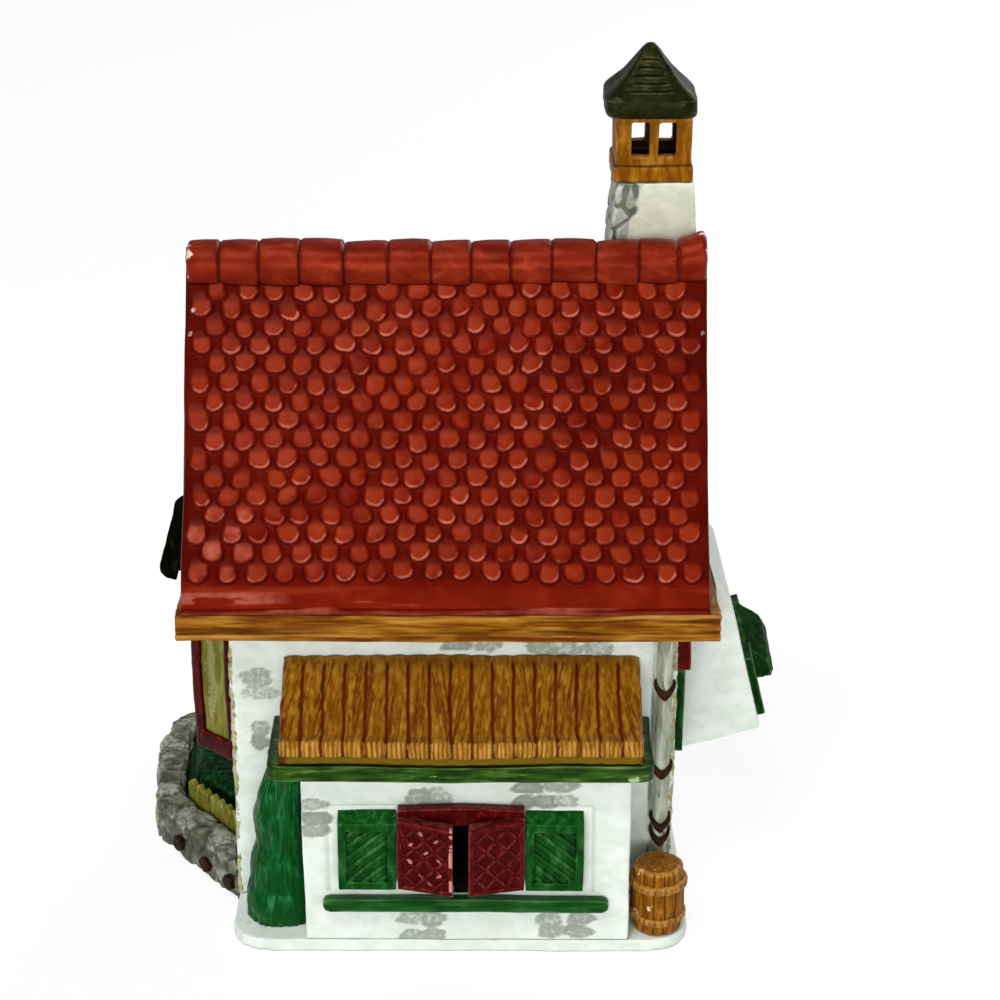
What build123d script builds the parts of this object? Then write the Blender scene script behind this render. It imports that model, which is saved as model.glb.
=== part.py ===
"""Ceramic christmas village house: slab walls, tiled roof and luted mouldings, in millimetres.

The origin is on the ground, on the axis of the lamp hole and in the middle of the four walls.
X runs along the ridge, Y runs from the lean-to bay at the front to the back, and Z is up.
"""
from math import cos, radians, sin, tan
import os

from build123d import *

os.makedirs("parts", exist_ok=True)

# Walls of the house.
wall_width = 92.0
wall_depth = 63.0
wall_thickness = 3.2
cut_overrun = 2.0

# Base slab, its raised floor and the hole for a clip-in lamp.
base_height = 2.8
base_left = -46.0
base_right = 49.4
base_back = 32.5
base_corner_radius = 8.0
base_back_radius = 1.0
floor_thickness = 3.0
floor_gap = 0.3
recess_margin = 4.5
lamp_hole_radius = 14.3
lamp_collar = 2.6
cord_slot_width = 8.0

# Roof: eave, slope, overhangs and slab.
eave_height = 71.7
eave_overhang = 6.5
roof_slope = 60.0
roof_slab = 3.4
roof_left = -54.8
roof_right = 51.9

# Fish-scale tiles.
tile_apron = 6.8
tile_courses = 16
tile_pitch = 5.8
tile_rise = 1.1
tile_root = 0.35
tile_sink = 0.2
tile_gap = 0.5
tile_end_margin = 0.6
course_pitch = 3.86
course_lap_share = 0.6
tail_width_shares = (1.0, 0.86, 0.46)
tail_depth_shares = (0.0, 0.34, 0.56)

# Ridge tiles.
ridge_tile_count = 13
ridge_left_tile = 5.4
ridge_right_tile = 6.6
ridge_joint = 0.4
ridge_chamfer = 0.6
ridge_crown = 1.48
ridge_skirt = 3.75

# Eave boards.
board_height = 5.7
board_projection = 6.0
board_left = -56.0
board_right = 54.1
board_lip = 0.6
board_lip_height = 1.6

# Chimney.
chimney_x = 41.2
chimney_front = 5.4
stack_width = 17.6
stack_depth = 16.4
stack_knee_drop = 0.5
chimney_seat_margin = 1.2
stack_top_width = 15.8
stack_neck_height = 12.4
vent_size = 15.6
vent_ledge = 0.5
vent_ledge_height = 3.2
vent_height = 13.4
vent_wall = 2.2
vent_opening_width = 3.7
vent_opening_height = 7.0
vent_opening_sill = 5.4
vent_mullion = 1.9
cap_size = 18.8
cap_fascia = 4.0
cap_corner = 1.6
cap_rise = 9.9
cap_slope_shares = ((0.88, 0.09), (0.66, 0.3), (0.43, 0.56), (0.22, 0.82), (0.08, 1.0))

# Lean-to bay in front of the house.
bay_left = -30.6
bay_right = 36.4
bay_projection = 18.0
bay_wall = 3.0
bay_drop = 20.1

# Thatched bay roof and its gutter.
thatch_left = -34.8
thatch_right = 38.2
thatch_wall_rise = 13.8
thatch_foot_rise = 7.6
thatch_brow_rise = 4.6
thatch_brow_projection = 20.0
thatch_front_projection = 21.5
thatch_seat_projection = 15.5
thatch_board_count = 17
thatch_groove_width = 0.9
thatch_groove_depth = 0.7
gutter_left = -37.3
gutter_right = 40.6
gutter_projection = 21.9
gutter_height = 3.6
gutter_radius = 2.4

# Red doors, green shutters and sill on the bay front.
door_left = -11.2
door_right = 14.6
door_foot_share = 0.3747
door_head_share = 0.7625
door_camber = 0.6
door_frame_depth = 2.5
door_rail = 4.0
door_hole_width = 16.0
door_hole_foot_share = 0.4227
leaf_foot_share = 0.3791
leaf_head_share = 0.7407
leaf_gap = 3.2
leaf_seat = 3.2
leaf_thickness = 1.3
leaf_swing = 14.0
leaf_border = 1.0
leaf_relief = 0.4
lattice_bar = 0.6
lattice_angle = 52.0
lattice_count = 3
shutter_width = 11.8
shutter_gap = 0.3
shutter_foot_share = 0.366
shutter_head_share = 0.7407
shutter_depth = 3.2
shutter_bevel = 1.9
shutter_border = 1.7
shutter_recess = 0.9
slat_width = 0.8
slat_relief = 0.5
slat_angle = 40.0
slat_count = 7
sill_left = -26.9
sill_right = 32.0
sill_foot_share = 0.2375
sill_height = 2.9
sill_depth = 2.3

# Evergreen tree in the corner left of the bay.
tree_x = -36.2
tree_y = -37.4
tree_radius = 7.4
tree_tip_radius = 1.6
tree_tiers = 6
tier_waist_share = 0.78
tree_clearance = 0.1

# Rain barrel and downpipe in the corner right of the bay.
barrel_x = 42.9
barrel_y = -43.1
barrel_height = 15.0
barrel_radius = 5.0
barrel_bulge = 0.7
barrel_rim = 0.8
barrel_lid_drop = 0.6
hoop_height = 1.3
hoop_thickness = 0.5
hoop_clearance = 0.1
hoop_height_shares = (0.2, 0.72)
pipe_x = 43.4
pipe_radius = 1.6
pipe_clearance = 0.05
pipe_standoff = 0.35
strap_height = 1.6
strap_thickness = 0.6
strap_lug = 1.1
strap_height_shares = (0.278, 0.494, 0.791)

# Terrace kerb on the left: its plan from the front corner of the house round to the back.
kerb_outer_plan = (
    (-46.0, -30.5), (-67.4, -3.2), (-69.2, 24.0), (-67.0, 37.0),
    (-60.0, 44.0), (-50.0, 44.0), (-43.5, 38.0), (-43.5, 32.5),
)
kerb_inner_plan = (
    (-48.5, 32.5), (-48.5, 34.5), (-50.5, 37.0), (-58.5, 37.0), (-61.5, 33.5),
    (-62.3, 24.0), (-60.9, 0.2), (-46.0, -18.8),
)
kerb_height = 9.4
kerb_width = 5.0
kerb_chamfer = 1.2
log_radius = 1.7
log_length = 1.3
log_height = 3.6
log_place_shares = (0.09, 0.36, 0.68)

# Planting bed, hedge and picket fence inside the kerb.
bed_height = 6.0
hedge_plan = ((-46.0, -10.5), (-58.6, 4.4), (-59.6, 23.0), (-46.0, 23.0))
hedge_height = 8.0
hedge_chamfer = 1.6
fence_start_share = 0.05
fence_end_share = 0.88
fence_gap = 0.3
fence_depth = 1.5
fence_height = 7.6
picket_count = 7
picket_gap = 0.5
picket_drop = 1.2
fence_rail_height = 4.6

# Canted bay on the left gable.
canted_projection = 8.8
canted_half_width = 29.5
canted_half_front = 21.5
canted_height = 32.5
canted_wall = 2.6
canted_sill = 4.0
canted_rail = 3.0
canted_post = 2.0
canted_light_count = 3
pane_thickness = 1.2
pane_setback = 0.9
pane_gap = 0.1

# Green hood on the left gable: its middle and end sections, measured up from the eave.
hood_half_width = 16.5
hood_profile = (
    (0.0, 14.0), (-11.8, 10.4), (-13.2, 9.3), (-14.6, 3.7), (-17.5, -6.0),
    (-17.4, -7.6), (-16.2, -8.9), (-14.0, -9.4), (-11.1, 0.3), (0.0, 0.3),
)
hood_end_profile = (
    (0.0, 6.0), (-9.0, 5.0), (-10.4, 4.4), (-11.4, 3.0), (-12.2, 1.7),
    (-12.2, 1.3), (-12.0, 0.9), (-11.7, 0.6), (-11.1, 0.3), (0.0, 0.3),
)

# White oriel on the right gable, which rises beside the eave board, with its hood and shutters.
# The hood's middle and end sections are measured out from the oriel's leaning face and up along it.
oriel_drop = 34.7
oriel_half_width = 19.5
oriel_reach = 19.7
oriel_foot_rise = 5.4
oriel_crown = 3.3
oriel_crown_rise = 0.5
oriel_peak_rise = 4.2
oriel_clearance = 0.1
oriel_wall = 3.0
oriel_hollow_shares = ((0.0, 1.1), (-1.3, 0.83), (-0.83, -1.23), (0.0, -1.23))
oriel_window_half_width = 6.0
oriel_window_foot = 1.6
oriel_window_head = 8.4
oriel_window_recess = 1.0
oriel_hood_half_width = 8.4
oriel_hood_profile = ((0.0, 20.8), (0.8, 21.0), (5.2, 16.4), (6.0, 12.7), (5.0, 10.1), (0.0, 9.0))
oriel_hood_end_profile = ((0.0, 13.5), (0.9, 13.7), (4.8, 9.3), (5.6, 6.6), (4.9, 5.3), (0.0, 5.6))
oriel_shutter_inner = 9.0
oriel_shutter_width = 7.0
oriel_shutter_thickness = 1.8
oriel_shutter_foot = 1.0
oriel_shutter_head = 15.0

# Windows beside the oriel.
side_window_near = 21.2
side_window_far = 29.6
side_head_drop = 2.6
side_head_height = 7.7
side_head_depth = 3.0
side_shutter_height = 19.0
side_shutter_depth = 1.9
side_slat_count = 6

# Windows in the hidden back wall.
back_window_offset = 21.0
back_window_width = 13.0
back_window_foot = 22.0
back_window_height = 19.0
back_frame_depth = 1.6
back_frame_rail = 1.9
back_bar = 1.2
back_hole_margin = 1.2
back_shutter_width = 7.0
back_shutter_depth = 1.5
back_shutter_gap = 0.3
back_slat_count = 5
louvre_border = 1.0
louvre_groove = 0.7
louvre_depth = 0.6
back_sill_height = 2.2
back_sill_depth = 2.4
back_sill_overhang = 8.4

# Values that follow from the sizes above.
half_width = wall_width / 2
half_depth = wall_depth / 2
inner_half_width = half_width - wall_thickness
inner_half_depth = half_depth - wall_thickness
bay_front = half_depth + bay_projection
door_middle = (door_left + door_right) / 2
eave_half_depth = half_depth + eave_overhang
slope_angle = radians(roof_slope)
ridge_height = eave_height + eave_half_depth * tan(slope_angle)
soffit_half_depth = eave_half_depth - roof_slab / sin(slope_angle)
soffit_height = ridge_height - roof_slab / cos(slope_angle)
gable_shoulder = eave_height + (soffit_half_depth - half_depth) * tan(slope_angle)
board_foot = eave_height - board_height
board_front = half_depth + board_projection
bay_top = board_foot - bay_drop
thatch_wall_top = bay_top + thatch_wall_rise
thatch_wall_foot = bay_top + thatch_foot_rise
thatch_brow_height = bay_top + thatch_brow_rise
door_foot = door_foot_share * bay_top
door_head = door_head_share * bay_top
door_hole_foot = door_hole_foot_share * bay_top
leaf_foot = leaf_foot_share * bay_top
leaf_head = leaf_head_share * bay_top
shutter_foot = shutter_foot_share * bay_top
shutter_head = shutter_head_share * bay_top
sill_foot = sill_foot_share * bay_top
canted_foot = board_foot - canted_height
oriel_foot = board_foot - oriel_drop
oriel_shoulder = board_right + board_lip + oriel_clearance - half_width
oriel_profile = (
    (0, 0), (oriel_reach, oriel_foot_rise),
    (oriel_shoulder + oriel_crown, oriel_drop + oriel_crown_rise),
    (oriel_shoulder, oriel_drop + oriel_peak_rise),
    (oriel_shoulder, oriel_drop - oriel_clearance), (0, oriel_drop - oriel_clearance),
)
oriel_corners = ((0, 0), oriel_profile[1], (oriel_shoulder + oriel_crown, oriel_drop), (0, oriel_drop))
side_head_top = board_foot - side_head_drop
side_head_foot = side_head_top - side_head_height
side_shutter_foot = side_head_foot - side_shutter_height
stack_knee_height = ridge_height - stack_knee_drop
stack_top_height = stack_knee_height + stack_neck_height
ridge_top_height = ridge_height + ridge_crown
skirt_height = ridge_height - ridge_skirt * tan(slope_angle)
ridge_drop = ridge_top_height - skirt_height
ridge_radius = (ridge_drop**2 + ridge_skirt**2) / (2 * ridge_drop)
ridge_axis_height = ridge_top_height - ridge_radius
skirt_run = (eave_half_depth - ridge_skirt) / cos(slope_angle)
chimney_back = chimney_front + stack_depth
chimney_y = (chimney_front + chimney_back) / 2


def soffit_at(y):
    """Height of the underside of the roof at a distance from the ridge line."""
    return soffit_height - abs(y) * tan(slope_angle)


def slope_at(y):
    """Height of the outer roof plane at a distance from the ridge line."""
    return ridge_height - abs(y) * tan(slope_angle)


def outline(points):
    """Straight-sided face through points of the open sketch."""
    Polygon(*points, align=None)


def rectangle(left, bottom, right, top, mode=Mode.ADD):
    """Rectangle between two corners of the open sketch."""
    with Locations(((left + right) / 2, (bottom + top) / 2)):
        Rectangle(right - left, top - bottom, mode=mode)


def door_hole(mode=Mode.ADD):
    """Light hole behind the doors, the same in the house wall, the bay wall and the frame."""
    rectangle(
        door_middle - door_hole_width / 2, door_hole_foot,
        door_middle + door_hole_width / 2, door_head - door_rail, mode=mode,
    )


def slats(left, bottom, right, top, width, angle, count):
    """Slanting parallel bars trimmed to a rectangle of the open sketch."""
    reach = (right - left) + (top - bottom)
    for number in range(count):
        share = (number + 0.5) / count
        spot = (left + (right - left) * share, bottom + (top - bottom) * share)
        if angle > 0:
            spot = (right - (right - left) * share, spot[1])
        with Locations(Location(spot, angle)):
            Rectangle(reach, width)
    rectangle(left, bottom, right, top, mode=Mode.INTERSECT)


def keep(builder, label):
    """Label a finished sub-part and write its file."""
    builder.part.label = label
    export_step(builder.part, "parts/" + label + ".step")


# Base slab: flush with the bay at the front, hollow below between its foot rim and the lamp collar.
with BuildPart() as base_slab:
    with BuildSketch():
        rectangle(base_left, -bay_front, base_right, base_back)
        corners = vertices().sort_by(Axis.Y)
        fillet(corners[:2], radius=base_corner_radius)
        fillet(vertices().sort_by(Axis.Y)[-2:], radius=base_back_radius)
    extrude(amount=base_height)
    with BuildSketch(Plane.XY.offset(base_height)):
        rectangle(
            floor_gap - inner_half_width, floor_gap - inner_half_depth,
            inner_half_width - floor_gap, inner_half_depth - floor_gap,
        )
    extrude(amount=floor_thickness)
    with BuildSketch():
        rectangle(
            recess_margin - inner_half_width, recess_margin - inner_half_depth,
            inner_half_width - recess_margin, inner_half_depth - recess_margin,
        )
        Circle(lamp_hole_radius + lamp_collar, mode=Mode.SUBTRACT)
        rectangle(-cord_slot_width / 2, 0, cord_slot_width / 2, base_back + cut_overrun)
    extrude(amount=base_height, mode=Mode.SUBTRACT)
    with BuildSketch():
        Circle(lamp_hole_radius)
    extrude(amount=base_height + floor_thickness, mode=Mode.SUBTRACT)
keep(base_slab, "base_slab")

# Front wall: its top edge is bevelled to the roof and its hole lights the doors of the bay.
with BuildPart() as front_wall:
    with BuildSketch(Plane.YZ.offset(-half_width)):
        outline((
            (-half_depth, base_height), (-inner_half_depth, base_height),
            (-inner_half_depth, soffit_at(inner_half_depth)), (-half_depth, gable_shoulder),
        ))
    extrude(amount=wall_width)
    with BuildSketch(Plane.XZ.offset(inner_half_depth)):
        door_hole()
    extrude(amount=wall_thickness, mode=Mode.SUBTRACT)
keep(front_wall, "front_wall")

# Back wall with two window holes.
with BuildPart() as back_wall:
    with BuildSketch(Plane.YZ.offset(-half_width)):
        outline((
            (half_depth, base_height), (inner_half_depth, base_height),
            (inner_half_depth, soffit_at(inner_half_depth)), (half_depth, gable_shoulder),
        ))
    extrude(amount=wall_width)
    with BuildSketch(Plane.XZ.offset(-half_depth)):
        for side in (-1, 1):
            middle = side * back_window_offset
            rectangle(
                middle - back_window_width / 2 + back_hole_margin,
                back_window_foot + back_hole_margin,
                middle + back_window_width / 2 - back_hole_margin,
                back_window_foot + back_window_height - back_hole_margin,
            )
    extrude(amount=wall_thickness, mode=Mode.SUBTRACT)
keep(back_wall, "back_wall")


def gable_outline():
    """Gable between the long walls, cut to the underside of the roof."""
    outline((
        (-inner_half_depth, base_height), (inner_half_depth, base_height),
        (inner_half_depth, soffit_at(inner_half_depth)), (0, soffit_height),
        (-inner_half_depth, soffit_at(inner_half_depth)),
    ))


# Gable walls at the two ends of the ridge.
with BuildPart() as left_gable_wall:
    with BuildSketch(Plane.YZ.offset(-half_width)):
        gable_outline()
    extrude(amount=wall_thickness)
keep(left_gable_wall, "left_gable_wall")

with BuildPart() as right_gable_wall:
    with BuildSketch(Plane.YZ.offset(inner_half_width)):
        gable_outline()
    extrude(amount=wall_thickness)
keep(right_gable_wall, "right_gable_wall")


def board_outline(inner, outer, sign):
    """Section of an eave board, with a lip along its lower outer edge."""
    outline((
        (sign * inner, board_foot), (sign * (outer + board_lip), board_foot),
        (sign * (outer + board_lip), board_foot + board_lip_height),
        (sign * outer, board_foot + board_lip_height),
        (sign * outer, eave_height), (sign * inner, eave_height),
    ))


# Long eave boards.
with BuildPart() as eave_board_front:
    with BuildSketch(Plane.YZ.offset(board_left)):
        board_outline(half_depth, board_front, -1)
    extrude(amount=board_right - board_left)
keep(eave_board_front, "eave_board_front")

with BuildPart() as eave_board_back:
    with BuildSketch(Plane.YZ.offset(board_left)):
        board_outline(half_depth, board_front, 1)
    extrude(amount=board_right - board_left)
keep(eave_board_back, "eave_board_back")

# Short eave boards across the gables.
with BuildPart() as eave_board_left:
    with BuildSketch(Plane.XZ.offset(-half_depth)):
        board_outline(half_width, -board_left, -1)
    extrude(amount=wall_depth)
keep(eave_board_left, "eave_board_left")

with BuildPart() as eave_board_right:
    with BuildSketch(Plane.XZ.offset(-half_depth)):
        board_outline(half_width, board_right, 1)
    extrude(amount=wall_depth)
keep(eave_board_right, "eave_board_right")

# Plane of the front roof slope, with its Y direction running up from the eave.
front_slope_plane = Plane(
    origin=(0, -eave_half_depth, eave_height),
    x_dir=(1, 0, 0),
    z_dir=(0, -sin(slope_angle), cos(slope_angle)),
)
tile_left = roof_left + tile_end_margin
tile_right = roof_right - tile_end_margin
tile_count = int((tile_right - tile_left) / tile_pitch)
tile_width = (tile_right - tile_left) / tile_count
course_length = course_pitch * (1 + course_lap_share)


def course_plane(number):
    """Plane of the tile faces of one course: proud at the tails and sunk at the heads."""
    tail = front_slope_plane.from_local_coords((0, tile_apron + number * course_pitch, tile_rise))
    lean = front_slope_plane.from_local_coords((0, tile_rise + tile_sink, course_length))
    return Plane(origin=tail, x_dir=(1, 0, 0), z_dir=lean - front_slope_plane.origin)


def course_points(number):
    """Outline of one course: straight head, scalloped tails, every second course staggered."""
    valley = course_pitch * tail_depth_shares[-1]
    head = min(course_length, skirt_run - tile_gap - tile_apron - number * course_pitch)
    stagger = number % 2
    half_tile = (tile_width - tile_gap) / 2
    scallop = []
    for share, depth in zip(tail_width_shares, tail_depth_shares):
        scallop.append((-half_tile * share, valley - course_pitch * depth))
    for share, depth in zip(reversed(tail_width_shares), reversed(tail_depth_shares)):
        scallop.append((half_tile * share, valley - course_pitch * depth))
    points = []
    for tile in range(tile_count - stagger):
        middle = tile_left + (tile + (1 + stagger) / 2) * tile_width
        points += [(middle + x, y) for x, y in scallop]
    return [(points[0][0], head)] + points + [(points[-1][0], head)]


# Front roof slope: slab with a smooth apron and sixteen courses of wedge-shaped tiles.
with BuildPart() as roof_front_slope:
    with BuildSketch(Plane.YZ.offset(roof_left)):
        outline((
            (-eave_half_depth, eave_height), (0, ridge_height),
            (0, soffit_height), (-soffit_half_depth, eave_height),
        ))
    extrude(amount=roof_right - roof_left)
    for number in range(tile_courses):
        with BuildSketch(course_plane(number)):
            outline(course_points(number))
    extrude(amount=-(tile_rise + tile_root))
keep(roof_front_slope, "roof_front_slope")

# Back roof slope: the same tiles, cleared where the chimney stands.
back_slope_plane = Plane(
    origin=(0, eave_half_depth, eave_height),
    x_dir=(-1, 0, 0),
    z_dir=(0, sin(slope_angle), cos(slope_angle)),
)
with BuildPart() as roof_back_slope:
    mirror(roof_front_slope.part, about=Plane.XZ)
    with BuildSketch(back_slope_plane):
        rectangle(
            -chimney_x - stack_width / 2 - chimney_seat_margin,
            (eave_half_depth - chimney_back - chimney_seat_margin) / cos(slope_angle),
            -chimney_x + stack_width / 2 + chimney_seat_margin,
            (eave_half_depth - chimney_front + chimney_seat_margin) / cos(slope_angle),
        )
    extrude(amount=tile_rise + cut_overrun, mode=Mode.SUBTRACT)
keep(roof_back_slope, "roof_back_slope")


def roof_outline():
    """Section of the whole roof down to the eave."""
    outline(((-eave_half_depth, eave_height), (0, ridge_height), (eave_half_depth, eave_height)))


# Ridge tiles: half-round tiles end to end, cut to straddle the two slopes.
ridge_length = roof_right - roof_left
ridge_pitch = (ridge_length - ridge_left_tile - ridge_right_tile) / (ridge_tile_count - 2)
with BuildPart() as ridge_tiles:
    for number in range(ridge_tile_count):
        start = roof_left + (ridge_left_tile + (number - 1) * ridge_pitch if number else 0)
        length = ridge_pitch
        if number == 0:
            length = ridge_left_tile
        if number == ridge_tile_count - 1:
            length = ridge_right_tile
        with BuildSketch(Plane.YZ.offset(start + ridge_joint / 2)):
            with Locations((0, ridge_axis_height)):
                Circle(ridge_radius)
        extrude(amount=length - ridge_joint)
    chamfer(edges().filter_by(GeomType.CIRCLE), length=ridge_chamfer)
    with BuildSketch(Plane.YZ.offset(roof_left - cut_overrun)):
        roof_outline()
    extrude(amount=ridge_length + 2 * cut_overrun, mode=Mode.SUBTRACT)
keep(ridge_tiles, "ridge_tiles")

# Chimney stack: straight above the back slope, then tapered.
with BuildPart() as chimney_stack:
    with BuildSketch(Plane.XZ.offset(-chimney_back)):
        outline((
            (chimney_x - stack_width / 2, slope_at(chimney_back)),
            (chimney_x + stack_width / 2, slope_at(chimney_back)),
            (chimney_x + stack_width / 2, stack_knee_height),
            (chimney_x + stack_top_width / 2, stack_top_height),
            (chimney_x - stack_top_width / 2, stack_top_height),
            (chimney_x - stack_width / 2, stack_knee_height),
        ))
    extrude(amount=stack_depth)
    with BuildSketch(Plane.YZ.offset(chimney_x - stack_width)):
        roof_outline()
    extrude(amount=2 * stack_width, mode=Mode.SUBTRACT)
keep(chimney_stack, "chimney_stack")


def vent_openings(middle):
    """Pair of vent openings either side of a mullion."""
    foot = stack_top_height + vent_opening_sill
    for side in (-1, 1):
        near = middle + side * vent_mullion / 2
        far = near + side * vent_opening_width
        rectangle(min(near, far), foot, max(near, far), foot + vent_opening_height)


# Chimney vent: hollow box on a ledge, open on all four sides.
with BuildPart() as chimney_vent:
    with BuildSketch(Plane.XY.offset(stack_top_height)):
        with Locations((chimney_x, chimney_y)):
            Rectangle(vent_size + 2 * vent_ledge, vent_size + 2 * vent_ledge)
    extrude(amount=vent_ledge_height)
    with BuildSketch(Plane.XY.offset(stack_top_height)):
        with Locations((chimney_x, chimney_y)):
            Rectangle(vent_size, vent_size)
    extrude(amount=vent_height)
    with BuildSketch(Plane.XY.offset(stack_top_height + vent_ledge_height)):
        with Locations((chimney_x, chimney_y)):
            Rectangle(vent_size - 2 * vent_wall, vent_size - 2 * vent_wall)
    extrude(amount=vent_height - vent_ledge_height, mode=Mode.SUBTRACT)
    with BuildSketch(Plane.XZ.offset(-chimney_y - vent_size)):
        vent_openings(chimney_x)
    extrude(amount=2 * vent_size, mode=Mode.SUBTRACT)
    with BuildSketch(Plane.YZ.offset(chimney_x - vent_size)):
        vent_openings(chimney_y)
    extrude(amount=2 * vent_size, mode=Mode.SUBTRACT)
keep(chimney_vent, "chimney_vent")

# Chimney cap: thick fascia with round corners under a hipped roof with hollow slopes.
cap_foot = stack_top_height + vent_height
with BuildPart() as chimney_cap:
    with BuildSketch(Plane.XY.offset(cap_foot)):
        with Locations((chimney_x, chimney_y)):
            RectangleRounded(cap_size, cap_size, cap_corner)
    extrude(amount=cap_fascia)
    for wide_share, rise_share in ((1, 0), *cap_slope_shares):
        with BuildSketch(Plane.XY.offset(cap_foot + cap_fascia + rise_share * cap_rise)):
            with Locations((chimney_x, chimney_y)):
                RectangleRounded(wide_share * cap_size, wide_share * cap_size, wide_share * cap_corner)
    loft(ruled=True)
keep(chimney_cap, "chimney_cap")

# Bay front wall with the hole behind the doors.
bay_inside = bay_front - bay_wall
with BuildPart() as bay_front_wall:
    with BuildSketch(Plane.XZ.offset(bay_inside)):
        rectangle(bay_left, base_height, bay_right, bay_top)
        door_hole(mode=Mode.SUBTRACT)
    extrude(amount=bay_wall)
keep(bay_front_wall, "bay_front_wall")

# Bay cheeks: their tops follow the underside of the thatch.
thatch_seat = half_depth + thatch_seat_projection
thatch_pitch = (thatch_wall_foot - bay_top) / thatch_seat_projection


def cheek_outline():
    """Side of the bay between its front wall and the house."""
    outline((
        (-bay_inside, base_height), (-half_depth, base_height), (-half_depth, thatch_wall_foot),
        (-bay_inside, bay_top + (thatch_seat - bay_inside) * thatch_pitch),
    ))


with BuildPart() as bay_left_cheek:
    with BuildSketch(Plane.YZ.offset(bay_left)):
        cheek_outline()
    extrude(amount=bay_wall)
keep(bay_left_cheek, "bay_left_cheek")

with BuildPart() as bay_right_cheek:
    with BuildSketch(Plane.YZ.offset(bay_right - bay_wall)):
        cheek_outline()
    extrude(amount=bay_wall)
keep(bay_right_cheek, "bay_right_cheek")

# Thatched bay roof: thick slab with a rolled front edge and a groove between the bundles.
thatch_top = (
    (-half_depth, thatch_wall_top),
    (-half_depth - thatch_brow_projection, thatch_brow_height),
    (-half_depth - thatch_front_projection, bay_top),
)
with BuildPart() as bay_thatch:
    with BuildSketch(Plane.YZ.offset(thatch_left)):
        outline(thatch_top + ((-thatch_seat, bay_top), (-half_depth, thatch_wall_foot)))
    extrude(amount=thatch_right - thatch_left)
    for number in range(1, thatch_board_count):
        joint = thatch_left + number * (thatch_right - thatch_left) / thatch_board_count
        with BuildSketch(Plane.YZ.offset(joint - thatch_groove_width / 2)):
            sunk = [(y + thatch_groove_depth / 2, z - thatch_groove_depth) for y, z in thatch_top]
            outline(list(thatch_top) + sunk[::-1])
    extrude(amount=thatch_groove_width, mode=Mode.SUBTRACT)
keep(bay_thatch, "bay_thatch")

# Gutter: one board round the three free sides of the bay.
gutter_foot = bay_top - gutter_height
with BuildPart() as bay_gutter:
    with BuildSketch(Plane.XY.offset(gutter_foot)):
        rectangle(gutter_left, -half_depth - gutter_projection, gutter_right, -half_depth)
        fillet(vertices().sort_by(Axis.Y)[:2], radius=gutter_radius)
        rectangle(bay_left, -bay_front, bay_right, cut_overrun - half_depth, mode=Mode.SUBTRACT)
    extrude(amount=gutter_height)
keep(bay_gutter, "bay_gutter")

# Door frame with a slightly cambered head.
door_face = bay_front + door_frame_depth
with BuildPart() as door_frame:
    with BuildSketch(Plane.XZ.offset(bay_front)):
        outline((
            (door_left, door_foot), (door_right, door_foot), (door_right, door_head),
            (door_middle, door_head + door_camber), (door_left, door_head),
        ))
        door_hole(mode=Mode.SUBTRACT)
    extrude(amount=door_frame_depth)
keep(door_frame, "door_frame")

# Left door leaf, fixed ajar, with a border and a lattice in relief.
leaf_swing_angle = radians(leaf_swing)
leaf_run = door_middle - leaf_gap / 2 - door_left
leaf_reach = leaf_run * tan(leaf_swing_angle)
leaf_width = leaf_run / cos(leaf_swing_angle)
leaf_height = leaf_head - leaf_foot
with BuildPart() as left_door_leaf:
    with BuildSketch(Plane.XY.offset(leaf_foot)):
        outline((
            (door_left, -door_face), (door_left, -door_face - leaf_thickness),
            (door_left + leaf_run, -door_face - leaf_thickness - leaf_reach),
            (door_left + leaf_run, -door_face - leaf_reach), (door_left + leaf_seat, -door_face),
        ))
    extrude(amount=leaf_height)
    leaf_plane = Plane(
        origin=(door_left, -door_face - leaf_thickness, leaf_foot),
        x_dir=(cos(leaf_swing_angle), -sin(leaf_swing_angle), 0),
        z_dir=(-sin(leaf_swing_angle), -cos(leaf_swing_angle), 0),
    )
    with BuildSketch(leaf_plane):
        for angle in (-lattice_angle, lattice_angle):
            slats(
                leaf_border, leaf_border, leaf_width - leaf_border, leaf_height - leaf_border,
                lattice_bar, angle, lattice_count,
            )
        rectangle(0, 0, leaf_width, leaf_border)
        rectangle(0, leaf_height - leaf_border, leaf_width, leaf_height)
        rectangle(0, 0, leaf_border, leaf_height)
        rectangle(leaf_width - leaf_border, 0, leaf_width, leaf_height)
    extrude(amount=leaf_relief)
keep(left_door_leaf, "left_door_leaf")

# Right door leaf, the mirror image about the middle of the doorway.
with BuildPart() as right_door_leaf:
    mirror(left_door_leaf.part, about=Plane.YZ.offset(door_middle))
keep(right_door_leaf, "right_door_leaf")

shutter_face = bay_front + shutter_depth


def shutter_block(left):
    """Section of a shutter with its bevelled head, started at its left side."""
    with BuildSketch(Plane.YZ.offset(left)) as section:
        outline((
            (-bay_front, shutter_foot), (-shutter_face, shutter_foot),
            (-shutter_face, shutter_head - shutter_bevel), (-bay_front, shutter_head),
        ))
    return section.sketch


def shutter_panel(left):
    """Corners of the sunk panel of a shutter."""
    return (
        left + shutter_border, shutter_foot + shutter_border,
        left + shutter_width - shutter_border, shutter_head - shutter_bevel - shutter_border,
    )


# Left shutter: sunk panel with slanting slats.
left_shutter_left = door_left - shutter_gap - shutter_width
with BuildPart() as left_shutter:
    extrude(shutter_block(left_shutter_left), amount=shutter_width)
    with BuildSketch(Plane.XZ.offset(shutter_face - shutter_recess)):
        rectangle(*shutter_panel(left_shutter_left))
    extrude(amount=shutter_recess, mode=Mode.SUBTRACT)
    with BuildSketch(Plane.XZ.offset(shutter_face - shutter_recess)):
        slats(*shutter_panel(left_shutter_left), slat_width, slat_angle, slat_count)
    extrude(amount=slat_relief)
keep(left_shutter, "left_shutter")

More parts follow.
